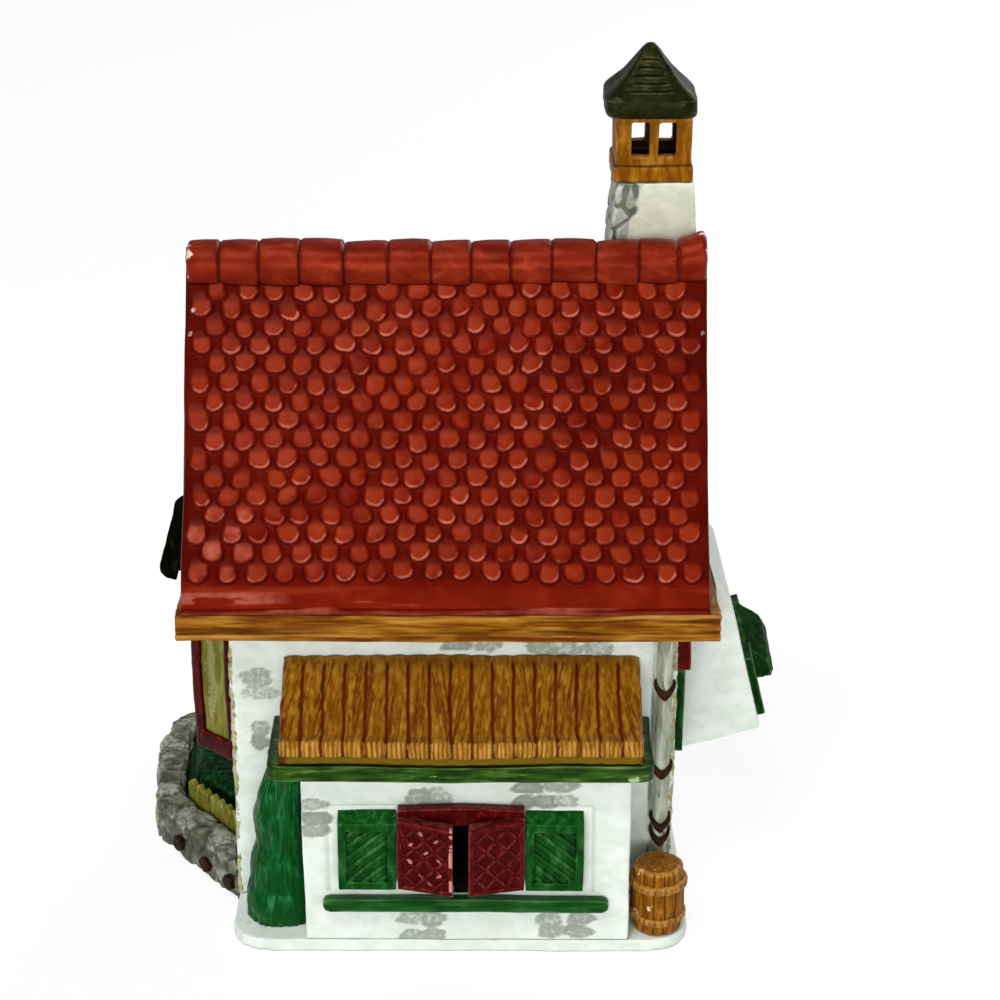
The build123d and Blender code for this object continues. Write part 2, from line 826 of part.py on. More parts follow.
# Right shutter: slats slant the other way.
right_shutter_left = door_right + shutter_gap
with BuildPart() as right_shutter:
    extrude(shutter_block(right_shutter_left), amount=shutter_width)
    with BuildSketch(Plane.XZ.offset(shutter_face - shutter_recess)):
        rectangle(*shutter_panel(right_shutter_left))
    extrude(amount=shutter_recess, mode=Mode.SUBTRACT)
    with BuildSketch(Plane.XZ.offset(shutter_face - shutter_recess)):
        slats(*shutter_panel(right_shutter_left), slat_width, -slat_angle, slat_count)
    extrude(amount=slat_relief)
keep(right_shutter, "right_shutter")

# Sill rail below the doors, with round ends.
with BuildPart() as door_sill:
    with BuildSketch(Plane.XZ.offset(bay_front)):
        with Locations(((sill_left + sill_right) / 2, sill_foot + sill_height / 2)):
            SlotOverall(sill_right - sill_left, sill_height)
    extrude(amount=sill_depth)
keep(door_sill, "door_sill")

# Evergreen tree: tiered cone trimmed flat against the house and the bay.
tree_top = gutter_foot - tree_clearance
tier_height = (tree_top - base_height) / tree_tiers
tier_step = (tree_radius - tree_tip_radius) / tree_tiers
with BuildPart() as evergreen_tree:
    with BuildSketch(Plane((tree_x, tree_y, base_height), x_dir=(1, 0, 0), z_dir=(0, -1, 0))):
        tree_points = [(0, 0), (tree_radius, 0)]
        for tier in range(1, tree_tiers):
            skirt = tree_radius - tier * tier_step
            tree_points.append((skirt * tier_waist_share, tier * tier_height))
            tree_points.append((skirt, tier * tier_height))
        tree_points.append((tree_tip_radius, tree_top - base_height))
        tree_points.append((0, tree_top - base_height))
        outline(tree_points)
    revolve(axis=Axis((tree_x, tree_y, 0), (0, 0, 1)))
    with BuildSketch(Plane.XY.offset(base_height)):
        rectangle(
            tree_x - 2 * tree_radius, -half_depth,
            tree_x + 2 * tree_radius, tree_y + 2 * tree_radius,
        )
        rectangle(
            bay_left, tree_y - 2 * tree_radius,
            bay_left + 2 * tree_radius, tree_y + 2 * tree_radius,
        )
    extrude(amount=tree_top, mode=Mode.SUBTRACT)
keep(evergreen_tree, "evergreen_tree")

# Rain barrel with bulging sides and a sunk lid.
barrel_plane = Plane((barrel_x, barrel_y, base_height), x_dir=(1, 0, 0), z_dir=(0, -1, 0))
barrel_axis = Axis((barrel_x, barrel_y, 0), (0, 0, 1))
with BuildPart() as rain_barrel:
    with BuildSketch(barrel_plane):
        with BuildLine():
            ThreePointArc(
                (barrel_radius, 0), (barrel_radius + barrel_bulge, barrel_height / 2),
                (barrel_radius, barrel_height),
            )
            Polyline(
                (barrel_radius, barrel_height), (barrel_radius - barrel_rim, barrel_height),
                (barrel_radius - barrel_rim, barrel_height - barrel_lid_drop),
                (0, barrel_height - barrel_lid_drop), (0, 0), (barrel_radius, 0),
            )
        make_face()
    revolve(axis=barrel_axis)
keep(rain_barrel, "rain_barrel")

# Two hoops round the barrel.
hoop_radius = barrel_radius + barrel_bulge + hoop_clearance
with BuildPart() as barrel_hoops:
    for share in hoop_height_shares:
        with BuildSketch(Plane((barrel_x, barrel_y, base_height + share * barrel_height))):
            Circle(hoop_radius + hoop_thickness)
            Circle(hoop_radius, mode=Mode.SUBTRACT)
        extrude(amount=hoop_height)
keep(barrel_hoops, "barrel_hoops")

# Downpipe from the eave board down to the base, behind the barrel.
pipe_y = -half_depth - pipe_radius - pipe_standoff
with BuildPart() as downpipe:
    with BuildSketch(Plane((pipe_x, pipe_y, base_height))):
        Circle(pipe_radius)
    extrude(amount=board_foot - base_height)
keep(downpipe, "downpipe")

# Straps that hold the downpipe to the wall.
strap_bore = pipe_radius + pipe_clearance
strap_radius = strap_bore + strap_thickness
with BuildPart() as pipe_straps:
    for share in strap_height_shares:
        with BuildSketch(Plane.XY.offset(base_height + share * (board_foot - base_height))):
            with Locations((pipe_x, pipe_y)):
                Circle(strap_radius)
            rectangle(
                pipe_x - strap_radius - strap_lug, -half_depth - strap_thickness,
                pipe_x + strap_radius + strap_lug, -half_depth,
            )
            with Locations((pipe_x, pipe_y)):
                Circle(strap_bore, mode=Mode.SUBTRACT)
            rectangle(
                pipe_x - 2 * strap_radius, -half_depth,
                pipe_x + 2 * strap_radius, strap_radius - half_depth, mode=Mode.SUBTRACT,
            )
        extrude(amount=strap_height)
keep(pipe_straps, "pipe_straps")

# Terrace kerb, with its top edges broken.
with BuildPart() as terrace_kerb:
    with BuildSketch():
        outline(kerb_outer_plan + kerb_inner_plan)
    extrude(amount=kerb_height)
    kerb_top = faces().sort_by(Axis.Z)[-1]
    chamfer(kerb_top.edges().filter_by(lambda edge: edge.length > kerb_width), length=kerb_chamfer)
keep(terrace_kerb, "terrace_kerb")

# Log ends set against the slanting front of the kerb.
kerb_start = Vector(*kerb_outer_plan[0])
kerb_corner = Vector(*kerb_outer_plan[1])
kerb_run = kerb_corner - kerb_start
with BuildPart() as kerb_logs:
    for share in log_place_shares:
        spot = kerb_start + kerb_run * share
        with BuildSketch(Plane((spot.X, spot.Y, log_height), z_dir=(-kerb_run.Y, kerb_run.X, 0))):
            Circle(log_radius)
        extrude(amount=log_length)
keep(kerb_logs, "kerb_logs")

# Planting bed that fills the kerb, and the hedge on it.
with BuildPart() as planting_bed:
    with BuildSketch():
        outline(kerb_inner_plan + ((-half_width, base_back),))
    extrude(amount=bed_height)
keep(planting_bed, "planting_bed")

with BuildPart() as hedge:
    with BuildSketch(Plane.XY.offset(bed_height)):
        outline(hedge_plan)
    extrude(amount=hedge_height)
    chamfer(faces().sort_by(Axis.Z)[-1].edges(), length=hedge_chamfer)
keep(hedge, "hedge")

# Picket fence just inside the slanting kerb.
kerb_back_corner = Vector(*kerb_inner_plan[-2])
kerb_back_end = Vector(*kerb_inner_plan[-1])
fence_line = kerb_back_end - kerb_back_corner
fence_in = Vector(-fence_line.Y, fence_line.X).normalized() * fence_gap
fence_start = kerb_back_corner + fence_line * fence_start_share + fence_in
fence_length = fence_line.length * (fence_end_share - fence_start_share)
picket_pitch = fence_length / picket_count
picket_half = (picket_pitch - picket_gap) / 2
with BuildPart() as picket_fence:
    with BuildSketch(
        Plane(
            (fence_start.X, fence_start.Y, bed_height),
            x_dir=(fence_line.X, fence_line.Y, 0), z_dir=(fence_line.Y, -fence_line.X, 0),
        )
    ):
        rectangle(0, 0, fence_length, fence_rail_height)
        for number in range(picket_count):
            middle = (number + 0.5) * picket_pitch
            outline((
                (middle - picket_half, 0), (middle + picket_half, 0),
                (middle + picket_half, fence_height - picket_drop), (middle, fence_height),
                (middle - picket_half, fence_height - picket_drop),
            ))
    extrude(amount=-fence_depth)
keep(picket_fence, "picket_fence")

# Canted bay on the left gable: three lights in front and one in each slanting side.
canted_x = -half_width - canted_projection
canted_top = board_foot
canted_run = Vector(canted_projection, canted_half_front - canted_half_width)
canted_side = canted_run.length
canted_lean = canted_side / canted_projection
light_foot = canted_foot + canted_sill
light_top = canted_top - canted_rail
near_plane = Plane(
    (canted_x, -canted_half_front, 0),
    x_dir=(canted_run.X, canted_run.Y, 0), z_dir=(canted_run.Y, -canted_run.X, 0),
)
far_plane = Plane(
    (-half_width, canted_half_width, 0),
    x_dir=(-canted_run.X, canted_run.Y, 0), z_dir=(canted_run.Y, canted_run.X, 0),
)
face_plane = Plane((canted_x, canted_half_front, 0), x_dir=(0, -1, 0), z_dir=(-1, 0, 0))
front_light = (2 * canted_half_front - (canted_light_count + 1) * canted_post) / canted_light_count
light_spans = [(near_plane, canted_post, canted_side - canted_post)]
light_spans.append((far_plane, canted_post, canted_side - canted_post))
for number in range(canted_light_count):
    light_left = canted_post + number * (front_light + canted_post)
    light_spans.append((face_plane, light_left, light_left + front_light))

with BuildPart() as canted_bay_frame:
    with BuildSketch(Plane.XY.offset(canted_foot)):
        outline((
            (-half_width, -canted_half_width), (canted_x, -canted_half_front),
            (canted_x, canted_half_front), (-half_width, canted_half_width),
        ))
    extrude(amount=canted_top - canted_foot)
    with BuildSketch(Plane.XY.offset(light_foot)):
        wall_y = canted_half_width - canted_wall * canted_lean
        slant = (canted_half_width - canted_half_front) / canted_projection
        front_y = wall_y - (canted_projection - canted_wall) * slant
        outline((
            (-half_width, -wall_y), (canted_x + canted_wall, -front_y),
            (canted_x + canted_wall, front_y), (-half_width, wall_y),
        ))
    extrude(amount=light_top - light_foot, mode=Mode.SUBTRACT)
    for plane, left, right in light_spans:
        with BuildSketch(plane):
            rectangle(left, light_foot, right, light_top)
    extrude(amount=-canted_wall, mode=Mode.SUBTRACT)
keep(canted_bay_frame, "canted_bay_frame")

# Yellow panes set back in the lights of the canted bay.
with BuildPart() as canted_bay_panes:
    for plane, left, right in light_spans:
        with BuildSketch(plane.offset(-pane_setback)):
            rectangle(left + pane_gap, light_foot, right - pane_gap, light_top)
    extrude(amount=-pane_thickness)
keep(canted_bay_panes, "canted_bay_panes")

# Green hood on the left gable, above the canted bay: full in the middle, with hipped ends.
with BuildPart() as gable_hood:
    for place, profile in (
        (-hood_half_width, hood_end_profile), (0, hood_profile), (hood_half_width, hood_end_profile),
    ):
        with BuildSketch(Plane.XZ.offset(place)):
            outline([(x - half_width, eave_height + z) for x, z in profile])
    loft(ruled=True)
keep(gable_hood, "gable_hood")

# White oriel on the right gable: hollow behind, with a sunk window in its leaning face.
face_foot = Vector(*oriel_profile[1]) + Vector(half_width, oriel_foot)
face_up = (Vector(*oriel_profile[2]) - Vector(*oriel_profile[1])).normalized()
face_out = Vector(face_up.Y, -face_up.X)
with BuildPart() as right_oriel:
    with BuildSketch(Plane.XZ.offset(-oriel_half_width)):
        outline([(x + half_width, oriel_foot + z) for x, z in oriel_profile])
    extrude(amount=2 * oriel_half_width)
    with BuildSketch(Plane.XZ.offset(oriel_wall - oriel_half_width)):
        outline([
            (half_width + x + x_share * oriel_wall, oriel_foot + z + z_share * oriel_wall)
            for (x, z), (x_share, z_share) in zip(oriel_corners, oriel_hollow_shares)
        ])
    extrude(amount=2 * (oriel_half_width - oriel_wall), mode=Mode.SUBTRACT)
    with BuildSketch(
        Plane((face_foot.X, 0, face_foot.Y), x_dir=(0, 1, 0), z_dir=(face_out.X, 0, face_out.Y))
    ):
        rectangle(
            -oriel_window_half_width, oriel_window_foot,
            oriel_window_half_width, oriel_window_head,
        )
    extrude(amount=-oriel_window_recess, mode=Mode.SUBTRACT)
keep(right_oriel, "right_oriel")

# Pitched hood over the oriel window: its crown in the middle, falling to both ends.
with BuildPart() as oriel_hood:
    for place, profile in (
        (-oriel_hood_half_width, oriel_hood_end_profile), (0, oriel_hood_profile),
        (oriel_hood_half_width, oriel_hood_end_profile),
    ):
        with BuildSketch(Plane.XZ.offset(place)):
            seats = [face_foot + face_out * out + face_up * up for out, up in profile]
            outline([(seat.X, seat.Y) for seat in seats])
    loft(ruled=True)
keep(oriel_hood, "oriel_hood")

# Shutters on the leaning face of the oriel, either side of its window.
shutter_low = face_foot + face_up * oriel_shutter_foot
shutter_high = face_foot + face_up * oriel_shutter_head
shutter_proud = face_out * oriel_shutter_thickness
with BuildPart() as oriel_shutters:
    for near in (-oriel_shutter_inner - oriel_shutter_width, oriel_shutter_inner):
        with BuildSketch(Plane.XZ.offset(-near - oriel_shutter_width)):
            outline([
                (point.X, point.Y) for point in
                (shutter_low, shutter_low + shutter_proud, shutter_high + shutter_proud, shutter_high)
            ])
        extrude(amount=oriel_shutter_width)
keep(oriel_shutters, "oriel_shutters")

# Maroon heads of the narrow windows beside the oriel.
with BuildPart() as side_window_heads:
    with BuildSketch(Plane.YZ.offset(half_width)):
        rectangle(-side_window_far, side_head_foot, -side_window_near, side_head_top)
        rectangle(side_window_near, side_head_foot, side_window_far, side_head_top)
    extrude(amount=side_head_depth)
keep(side_window_heads, "side_window_heads")


def louvres(left, right, foot, top, count):
    """Level grooves that divide a shutter into slats."""
    pitch = (top - foot) / count
    for number in range(1, count):
        level = foot + number * pitch
        rectangle(
            left + louvre_border, level - louvre_groove / 2,
            right - louvre_border, level + louvre_groove / 2,
        )


# Closed green shutters below those heads.
with BuildPart() as side_shutters:
    with BuildSketch(Plane.YZ.offset(half_width)):
        rectangle(-side_window_far, side_shutter_foot, -side_window_near, side_head_foot)
        rectangle(side_window_near, side_shutter_foot, side_window_far, side_head_foot)
    extrude(amount=side_shutter_depth)
    with BuildSketch(Plane.YZ.offset(half_width + side_shutter_depth - louvre_depth)):
        louvres(-side_window_far, -side_window_near, side_shutter_foot, side_head_foot, side_slat_count)
        louvres(side_window_near, side_window_far, side_shutter_foot, side_head_foot, side_slat_count)
    extrude(amount=louvre_depth, mode=Mode.SUBTRACT)
keep(side_shutters, "side_shutters")

# Cross-barred frames over the holes in the back wall.
back_window_top = back_window_foot + back_window_height
back_middles = (-back_window_offset, back_window_offset)
with BuildPart() as back_window_frames:
    with BuildSketch(Plane.XZ.offset(-half_depth - back_frame_depth)):
        for middle in back_middles:
            left = middle - back_window_width / 2
            right = middle + back_window_width / 2
            rectangle(left, back_window_foot, right, back_window_top)
            rectangle(
                left + back_frame_rail, back_window_foot + back_frame_rail,
                right - back_frame_rail, back_window_top - back_frame_rail, mode=Mode.SUBTRACT,
            )
            rectangle(middle - back_bar / 2, back_window_foot, middle + back_bar / 2, back_window_top)
            level = (back_window_foot + back_window_top) / 2
            rectangle(left, level - back_bar / 2, right, level + back_bar / 2)
    extrude(amount=back_frame_depth)
keep(back_window_frames, "back_window_frames")

# Open shutters either side of the back windows.
with BuildPart() as back_shutters:
    back_spans = []
    for middle in back_middles:
        inner = back_window_width / 2 + back_shutter_gap
        back_spans.append((middle - inner - back_shutter_width, middle - inner))
        back_spans.append((middle + inner, middle + inner + back_shutter_width))
    with BuildSketch(Plane.XZ.offset(-half_depth - back_shutter_depth)):
        for left, right in back_spans:
            rectangle(left, back_window_foot, right, back_window_top)
    extrude(amount=back_shutter_depth)
    with BuildSketch(Plane.XZ.offset(-half_depth - back_shutter_depth)):
        for left, right in back_spans:
            louvres(left, right, back_window_foot, back_window_top, back_slat_count)
    extrude(amount=louvre_depth, mode=Mode.SUBTRACT)
keep(back_shutters, "back_shutters")

# Sills under the back windows.
with BuildPart() as back_sills:
    with BuildSketch(Plane.XZ.offset(-half_depth - back_sill_depth)):
        for middle in back_middles:
            reach = back_window_width / 2 + back_sill_overhang
            rectangle(middle - reach, back_window_foot - back_sill_height, middle + reach, back_window_foot)
    extrude(amount=back_sill_depth)
keep(back_sills, "back_sills")
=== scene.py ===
"""Looks of the ceramic christmas village house: soft cast forms, hand-pressed relief and painted glazes.

Lengths in the shape code are millimetres in the CAD frame, and turn to metres when a mesh is made.
"""
import math

import bmesh
import bpy
import numpy as np
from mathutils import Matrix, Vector


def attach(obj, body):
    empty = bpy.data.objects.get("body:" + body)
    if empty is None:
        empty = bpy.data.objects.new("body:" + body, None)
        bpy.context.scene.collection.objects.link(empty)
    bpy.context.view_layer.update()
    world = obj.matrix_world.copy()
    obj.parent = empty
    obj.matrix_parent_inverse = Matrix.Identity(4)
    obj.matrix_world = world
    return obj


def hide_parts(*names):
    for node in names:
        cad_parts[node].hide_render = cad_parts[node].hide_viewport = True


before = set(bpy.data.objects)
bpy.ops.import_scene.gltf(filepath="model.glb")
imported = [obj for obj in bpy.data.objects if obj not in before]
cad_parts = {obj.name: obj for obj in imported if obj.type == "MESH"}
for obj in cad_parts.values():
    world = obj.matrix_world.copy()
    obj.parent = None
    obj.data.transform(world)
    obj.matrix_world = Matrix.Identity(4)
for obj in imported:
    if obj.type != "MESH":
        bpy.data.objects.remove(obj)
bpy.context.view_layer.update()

MM = 0.001


# Numbers
def hashed(cells, salt):
    """Whole random number for each cell of a grid."""
    mixed = cells[:, 0] * 73856093 ^ cells[:, 1] * 19349663 ^ cells[:, 2] * 83492791 ^ salt
    return (mixed ^ (mixed >> 13)) * 1274126177 & 0x7FFFFFFF


def lattice(points, seed):
    """Smooth random values from -1 to 1, one cell to a unit."""
    cell = np.floor(points).astype(np.int64)
    part = points - cell
    part = part**3 * (part * (part * 6 - 15) + 10)
    total = np.zeros(len(points))
    for corner in range(8):
        step = np.array([corner & 1, (corner >> 1) & 1, (corner >> 2) & 1])
        mixed = hashed(cell + step, seed * 6971 + 12345)
        mixed = (mixed ^ (mixed >> 15)) & 0xFFFF
        weight = np.prod(np.where(step == 1, part, 1 - part), axis=1)
        total += weight * (mixed / 32767.5 - 1)
    return total


def noise(points, size, seed, octaves=2):
    """Fractal noise from about -1 to 1, with cells of that size in mm (one number, or three)."""
    points = np.asarray(points) / np.asarray(size, dtype=float)
    total = np.zeros(len(points))
    weight = 0.0
    for octave in range(octaves):
        share = 0.5**octave
        total += share * lattice(points * 2**octave + 17.3 * octave, seed + octave)
        weight += share
    return total / weight


def pebbles(points, size, seed):
    """Distance to the nearest and second nearest scattered point, in mm, and a random number per cell."""
    scaled = np.asarray(points) / size
    cell = np.floor(scaled).astype(np.int64)
    first = np.full(len(scaled), 9.0)
    second = np.full(len(scaled), 9.0)
    owner = np.zeros(len(scaled))
    for step in np.ndindex(3, 3, 3):
        spot = cell + np.array(step) - 1
        mixed = hashed(spot, seed * 7919 + 31)
        shift = np.stack([(mixed >> bits & 1023) / 1023 for bits in (0, 10, 20)], axis=1)
        gap = np.linalg.norm(spot + 0.15 + 0.7 * shift - scaled, axis=1)
        nearer = gap < first
        second = np.where(nearer, first, np.minimum(second, gap))
        owner = np.where(nearer, (mixed >> 5 & 255) / 255, owner)
        first = np.where(nearer, gap, first)
    return first * size, second * size, owner


def ease(value, low, high):
    """Smooth step from 0 at low to 1 at high."""
    share = np.clip((value - low) / (high - low), 0, 1)
    return share * share * (3 - 2 * share)


def fade(value, low, high):
    """Smooth step from 1 at low to 0 at high."""
    return 1 - ease(value, low, high)


def line(away, width):
    """1 on a line and 0 well away from it."""
    return np.exp(-((away / width) ** 2))


def rounding(away, radius):
    """Drop of a rounded edge, from 1 at the edge to 0 a radius away from it."""
    return 1 - np.sqrt(np.clip(1 - (1 - np.clip(away / radius, 0, 1)) ** 2, 0, 1))


def wobble(points, size, seed, octaves=2):
    """Noise along all three axes."""
    return np.stack([noise(points, size, seed + axis, octaves) for axis in range(3)], axis=1)


def noise_over(across, along, depth=0.0):
    """Noise over a grid of places, as a function of the cell size, the seed and the octaves."""
    flat = np.stack([across.ravel(), along.ravel(), np.full(across.size, depth)], axis=1)
    return lambda size, seed, octaves=2: noise(flat, size, seed, octaves).reshape(across.shape)


def noise_around(turn, z, radius):
    """The same over the turns and heights of a round piece."""
    ring = np.stack([np.cos(turn) * radius, np.sin(turn) * radius, z], axis=2).reshape(-1, 3)
    return lambda size, seed, octaves=2: noise(ring, size, seed, octaves).reshape(turn.shape)


def layers(*parts):
    """Relief made of layers of noise, each given as (height in mm, cell size, seed)."""
    return lambda points, normals: sum(height * noise(points, size, seed) for height, size, seed in parts)


def warp(points):
    """The whole casting is a little out of true: one slow field moves every piece alike."""
    shift = 0.34 * wobble(points, 26.0, 3, 1) + 0.11 * wobble(points, 8.0, 9, 1)
    shift[:, 2] *= ease(points[:, 2], 0.2, 5.0)
    return np.maximum(points + shift, (-999, -999, 0))


# Meshes
def shape(name, points, faces):
    """New piece from points in mm."""
    mesh = bpy.data.meshes.new(name)
    mesh.from_pydata((np.asarray(points) * MM).tolist(), [], faces)
    mesh.update()
    piece = bpy.data.objects.new(name, mesh)
    bpy.context.scene.collection.objects.link(piece)
    return piece


def grid_faces(rows, columns, closed=False):
    """Quads of a grid of points stored row by row."""
    faces = []
    for row in range(rows - 1):
        for column in range(columns if closed else columns - 1):
            beside = (column + 1) % columns
            faces.append((
                row * columns + column, row * columns + beside,
                (row + 1) * columns + beside, (row + 1) * columns + column,
            ))
    return faces


def capped_faces(rows, columns):
    """Faces of a tube of rows with one flat face on each end."""
    last = (rows - 1) * columns
    return grid_faces(rows, columns, closed=True) + [list(range(columns)), list(range(last, last + columns))]


def pointed_faces(rows, columns):
    """Faces of a tube of rows, fanned at both ends to the two points that follow the rows."""
    faces = grid_faces(rows, columns, closed=True)
    foot, last = rows * columns, (rows - 1) * columns
    for spot in range(columns):
        ahead = (spot + 1) % columns
        faces.append((foot, ahead, spot))
        faces.append((foot + 1, last + spot, last + ahead))
    return faces


def outward(piece):
    """All faces look out, and the surface shades smoothly."""
    form = bmesh.new()
    form.from_mesh(piece.data)
    bmesh.ops.recalc_face_normals(form, faces=form.faces)
    for face in form.faces:
        face.smooth = True
    form.to_mesh(piece.data)
    form.free()
    piece.data.update()


def moulded(name, points, faces):
    """New smooth piece from points in mm, out of true like the rest."""
    piece = shape(name, warp(points), faces)
    outward(piece)
    return piece


def table_of(items, what, width, kind=float):
    """Table of one property of all points or edges of a mesh."""
    flat = np.empty(len(items) * width, dtype=kind)
    items.foreach_get(what, flat)
    return flat.reshape(-1, width)


def points_of(piece):
    return table_of(piece.data.vertices, "co", 3) / MM


def normals_of(piece):
    return table_of(piece.data.vertices, "normal", 3)


def edges_of(piece):
    return table_of(piece.data.edges, "vertices", 2, np.int64)


def set_points(piece, points):
    piece.data.vertices.foreach_set("co", (points * MM).ravel())
    piece.data.update()


def relax(values, edges, rounds, there=0.5, back=-0.53):
    """Smooths points or numbers over the edges. A negative second step keeps the volume."""
    values = values.reshape(len(values), -1).copy()
    count = np.maximum(np.bincount(edges.ravel(), minlength=len(values)), 1)[:, None]
    for _ in range(rounds):
        for step in (there, back):
            if step:
                around = np.stack([
                    np.bincount(edges[:, 0], values[edges[:, 1], axis], len(values))
                    + np.bincount(edges[:, 1], values[edges[:, 0], axis], len(values))
                    for axis in range(values.shape[1])
                ], axis=1)
                values += step * (around / count - values)
    return values


def paint(piece, hollow, edge, extra=0.0, moss=0.0):
    """Stores what the brush needs at each point: hollows and painted shade, worn edges and painted
    highlights, the piece's own mask, and moss.
    """
    layer = piece.data.color_attributes.new("paint", "FLOAT_COLOR", "POINT")
    table = np.ones((len(piece.data.vertices), 4))
    for column, values in enumerate((hollow, edge, extra, moss)):
        table[:, column] = np.clip(values, 0, 1)
    layer.data.foreach_set("color", table.ravel())


def curvature(piece, reach, depth):
    """Hollows and edges of the surface, from how far smoothing would move it."""
    points = points_of(piece)
    smooth = relax(points, edges_of(piece), reach, 0.6, 0)
    move = np.sum((smooth - points) * normals_of(piece), axis=1) / depth
    return np.clip(move, 0, 1), np.clip(-move, 0, 1)


def cast(name, nodes, voxel, rounds=3, relief=None, mask=None, depth=0.3, reach=6, grow=0.04, moss=None,
         lean=(0, 0, 0), dark=None):
    """Soft cast copy of CAD nodes: remeshed, its edges rounded, then relief along its normals.

    relief(points, normals) gives mm. mask, moss and dark give shares in the same way, dark those of painted
    shade. lean is a shift in mm.
    """
    form = bmesh.new()
    for node in nodes:
        form.from_mesh(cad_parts[node].data)
    bmesh.ops.remove_doubles(form, verts=form.verts, dist=1e-6)
    if len(nodes) > 1:
        form.normal_update()
        for vertex in form.verts:
            vertex.co += vertex.normal * grow * MM
    mesh = bpy.data.meshes.new(name)
    form.to_mesh(mesh)
    form.free()
    piece = bpy.data.objects.new(name, mesh)
    bpy.context.scene.collection.objects.link(piece)
    remesh = piece.modifiers.new("voxels", "REMESH")
    remesh.mode = "VOXEL"
    remesh.voxel_size = voxel * MM
    bpy.context.view_layer.update()
    remeshed = bpy.data.meshes.new_from_object(piece.evaluated_get(bpy.context.evaluated_depsgraph_get()))
    piece.modifiers.clear()
    piece.data = remeshed
    remeshed.name = name
    points = relax(points_of(piece), edges_of(piece), rounds)
    set_points(piece, points)
    normals = normals_of(piece)
    own = mask(points, normals) if mask else 0.0
    growth = moss(points, normals) if moss else 0.0
    # Share of painted shade, laid into the hollows
    shading_share = dark(points, normals) if dark else 0.0
    if relief:
        points = points + normals * relief(points, normals)[:, None]
    set_points(piece, warp(points) + np.array(lean))
    outward(piece)
    hollow, edge = curvature(piece, reach, depth)
    paint(piece, np.maximum(hollow, shading_share), edge * (1 - shading_share), own, growth)
    return piece


# Glazes
def tone(red, green, blue):
    """Colour as read from a picture, made linear."""
    return tuple(((part / 255 + 0.055) / 1.055) ** 2.4 for part in (red, green, blue)) + (1.0,)


def sheen(red, green, blue):
    """Tint of the reflections in a coloured glaze: its hue, paler."""
    linear = tone(red, green, blue)[:3]
    return tuple((part / max(linear)) ** 0.9 for part in linear) + (1.0,)


class Graph:
    """Node graph of one material."""

    def __init__(self, name):
        self.material = bpy.data.materials.new(name)
        self.material.use_nodes = True
        self.tree = self.material.node_tree
        self.shader = next(node for node in self.tree.nodes if node.type == "BSDF_PRINCIPLED")

    def feed(self, node, inputs):
        """Gives each input another node's output or a plain value."""
        for socket, value in inputs.items():
            if isinstance(value, bpy.types.NodeSocket):
                self.tree.links.new(value, node.inputs[socket])
            else:
                node.inputs[socket].default_value = value

    def node(self, kind, inputs, **settings):
        """Outputs of a new node."""
        node = self.tree.nodes.new("ShaderNode" + kind)
        for setting, value in settings.items():
            setattr(node, setting, value)
        self.feed(node, inputs)
        return node.outputs


class Glaze(Graph):
    """Node graph of one painted glaze. Its hollow, edge, extra and moss are the layers of the paint."""

    def __init__(self, name):
        super().__init__(name)
        self.place = self.node("TexCoord", {})["Object"]
        layer = self.node("Attribute", {}, attribute_name="paint")
        parts = self.node("SeparateColor", {"Color": layer["Color"]})
        self.hollow, self.edge, self.extra = (parts[part] for part in ("Red", "Green", "Blue"))
        self.moss = layer["Alpha"]

    def cells(self, size, stretch=(1, 1, 1)):
        """Places in the piece's own space, in cells of that size in mm."""
        scale = [1 / (axis * size * MM) for axis in stretch]
        return self.node("Mapping", {"Vector": self.place, "Scale": scale})["Vector"]

    def noise(self, size, stretch=(1, 1, 1), detail=3.0, rough=0.55, warp=0.0):
        """Noise with blobs of that size in mm, longer along an axis whose stretch is above 1."""
        look = {"Scale": 1.0, "Detail": detail, "Roughness": rough, "Distortion": warp}
        return self.node("TexNoise", {"Vector": self.cells(size, stretch), **look})["Fac"]

    def spots(self, size):
        """Distance from scattered points, as a share of their spacing in mm."""
        return self.node("TexVoronoi", {"Vector": self.cells(size), "Scale": 1.0})["Distance"]

    def ramp(self, value, low, high, start=0.0, end=1.0):
        """Smooth step from start at low to end at high."""
        ends = {"From Min": low, "From Max": high, "To Min": start, "To Max": end}
        return self.node("MapRange", {"Value": value, **ends}, interpolation_type="SMOOTHSTEP")["Result"]

    def add(self, first, second):
        return self.node("Math", {0: first, 1: second}, operation="ADD", use_clamp=True)[0]

    def times(self, first, second):
        return self.node("Math", {0: first, 1: second}, operation="MULTIPLY")[0]

    def mix(self, share, first, second):
        return self.node("Mix", {0: share, 6: first, 7: second}, data_type="RGBA")[2]

    def contact_shade(self, reach):
        """Painted shade: 1 deep in corners and where pieces meet, 0 on open faces, looking that many mm
        around.
        """
        open_share = self.node("AmbientOcclusion", {"Distance": reach * MM}, samples=8)["AO"]
        return self.ramp(open_share, 0.25, 0.7, 1.0, 0.0)

    def finish(self, colour, rough, bumps, coat, tint, gloss):
        """colour and rough are sockets, gloss may be one; bumps are (socket, height in mm)."""
        skin = {}
        for value, height in bumps:
            bump = {"Strength": 0.8, "Distance": height * MM, "Height": value, **skin}
            skin = {"Normal": self.node("Bump", bump)["Normal"]}
        self.feed(self.shader, {
            "Base Color": colour, "Roughness": rough, "Specular IOR Level": gloss, "Specular Tint": tint,
            "Coat Weight": coat, "Coat Roughness": 0.14, **skin,
        })
        return self.material


# Reach in mm of the painted shade in corners and where pieces meet
CONTACT_SHADE_REACH = 1.5


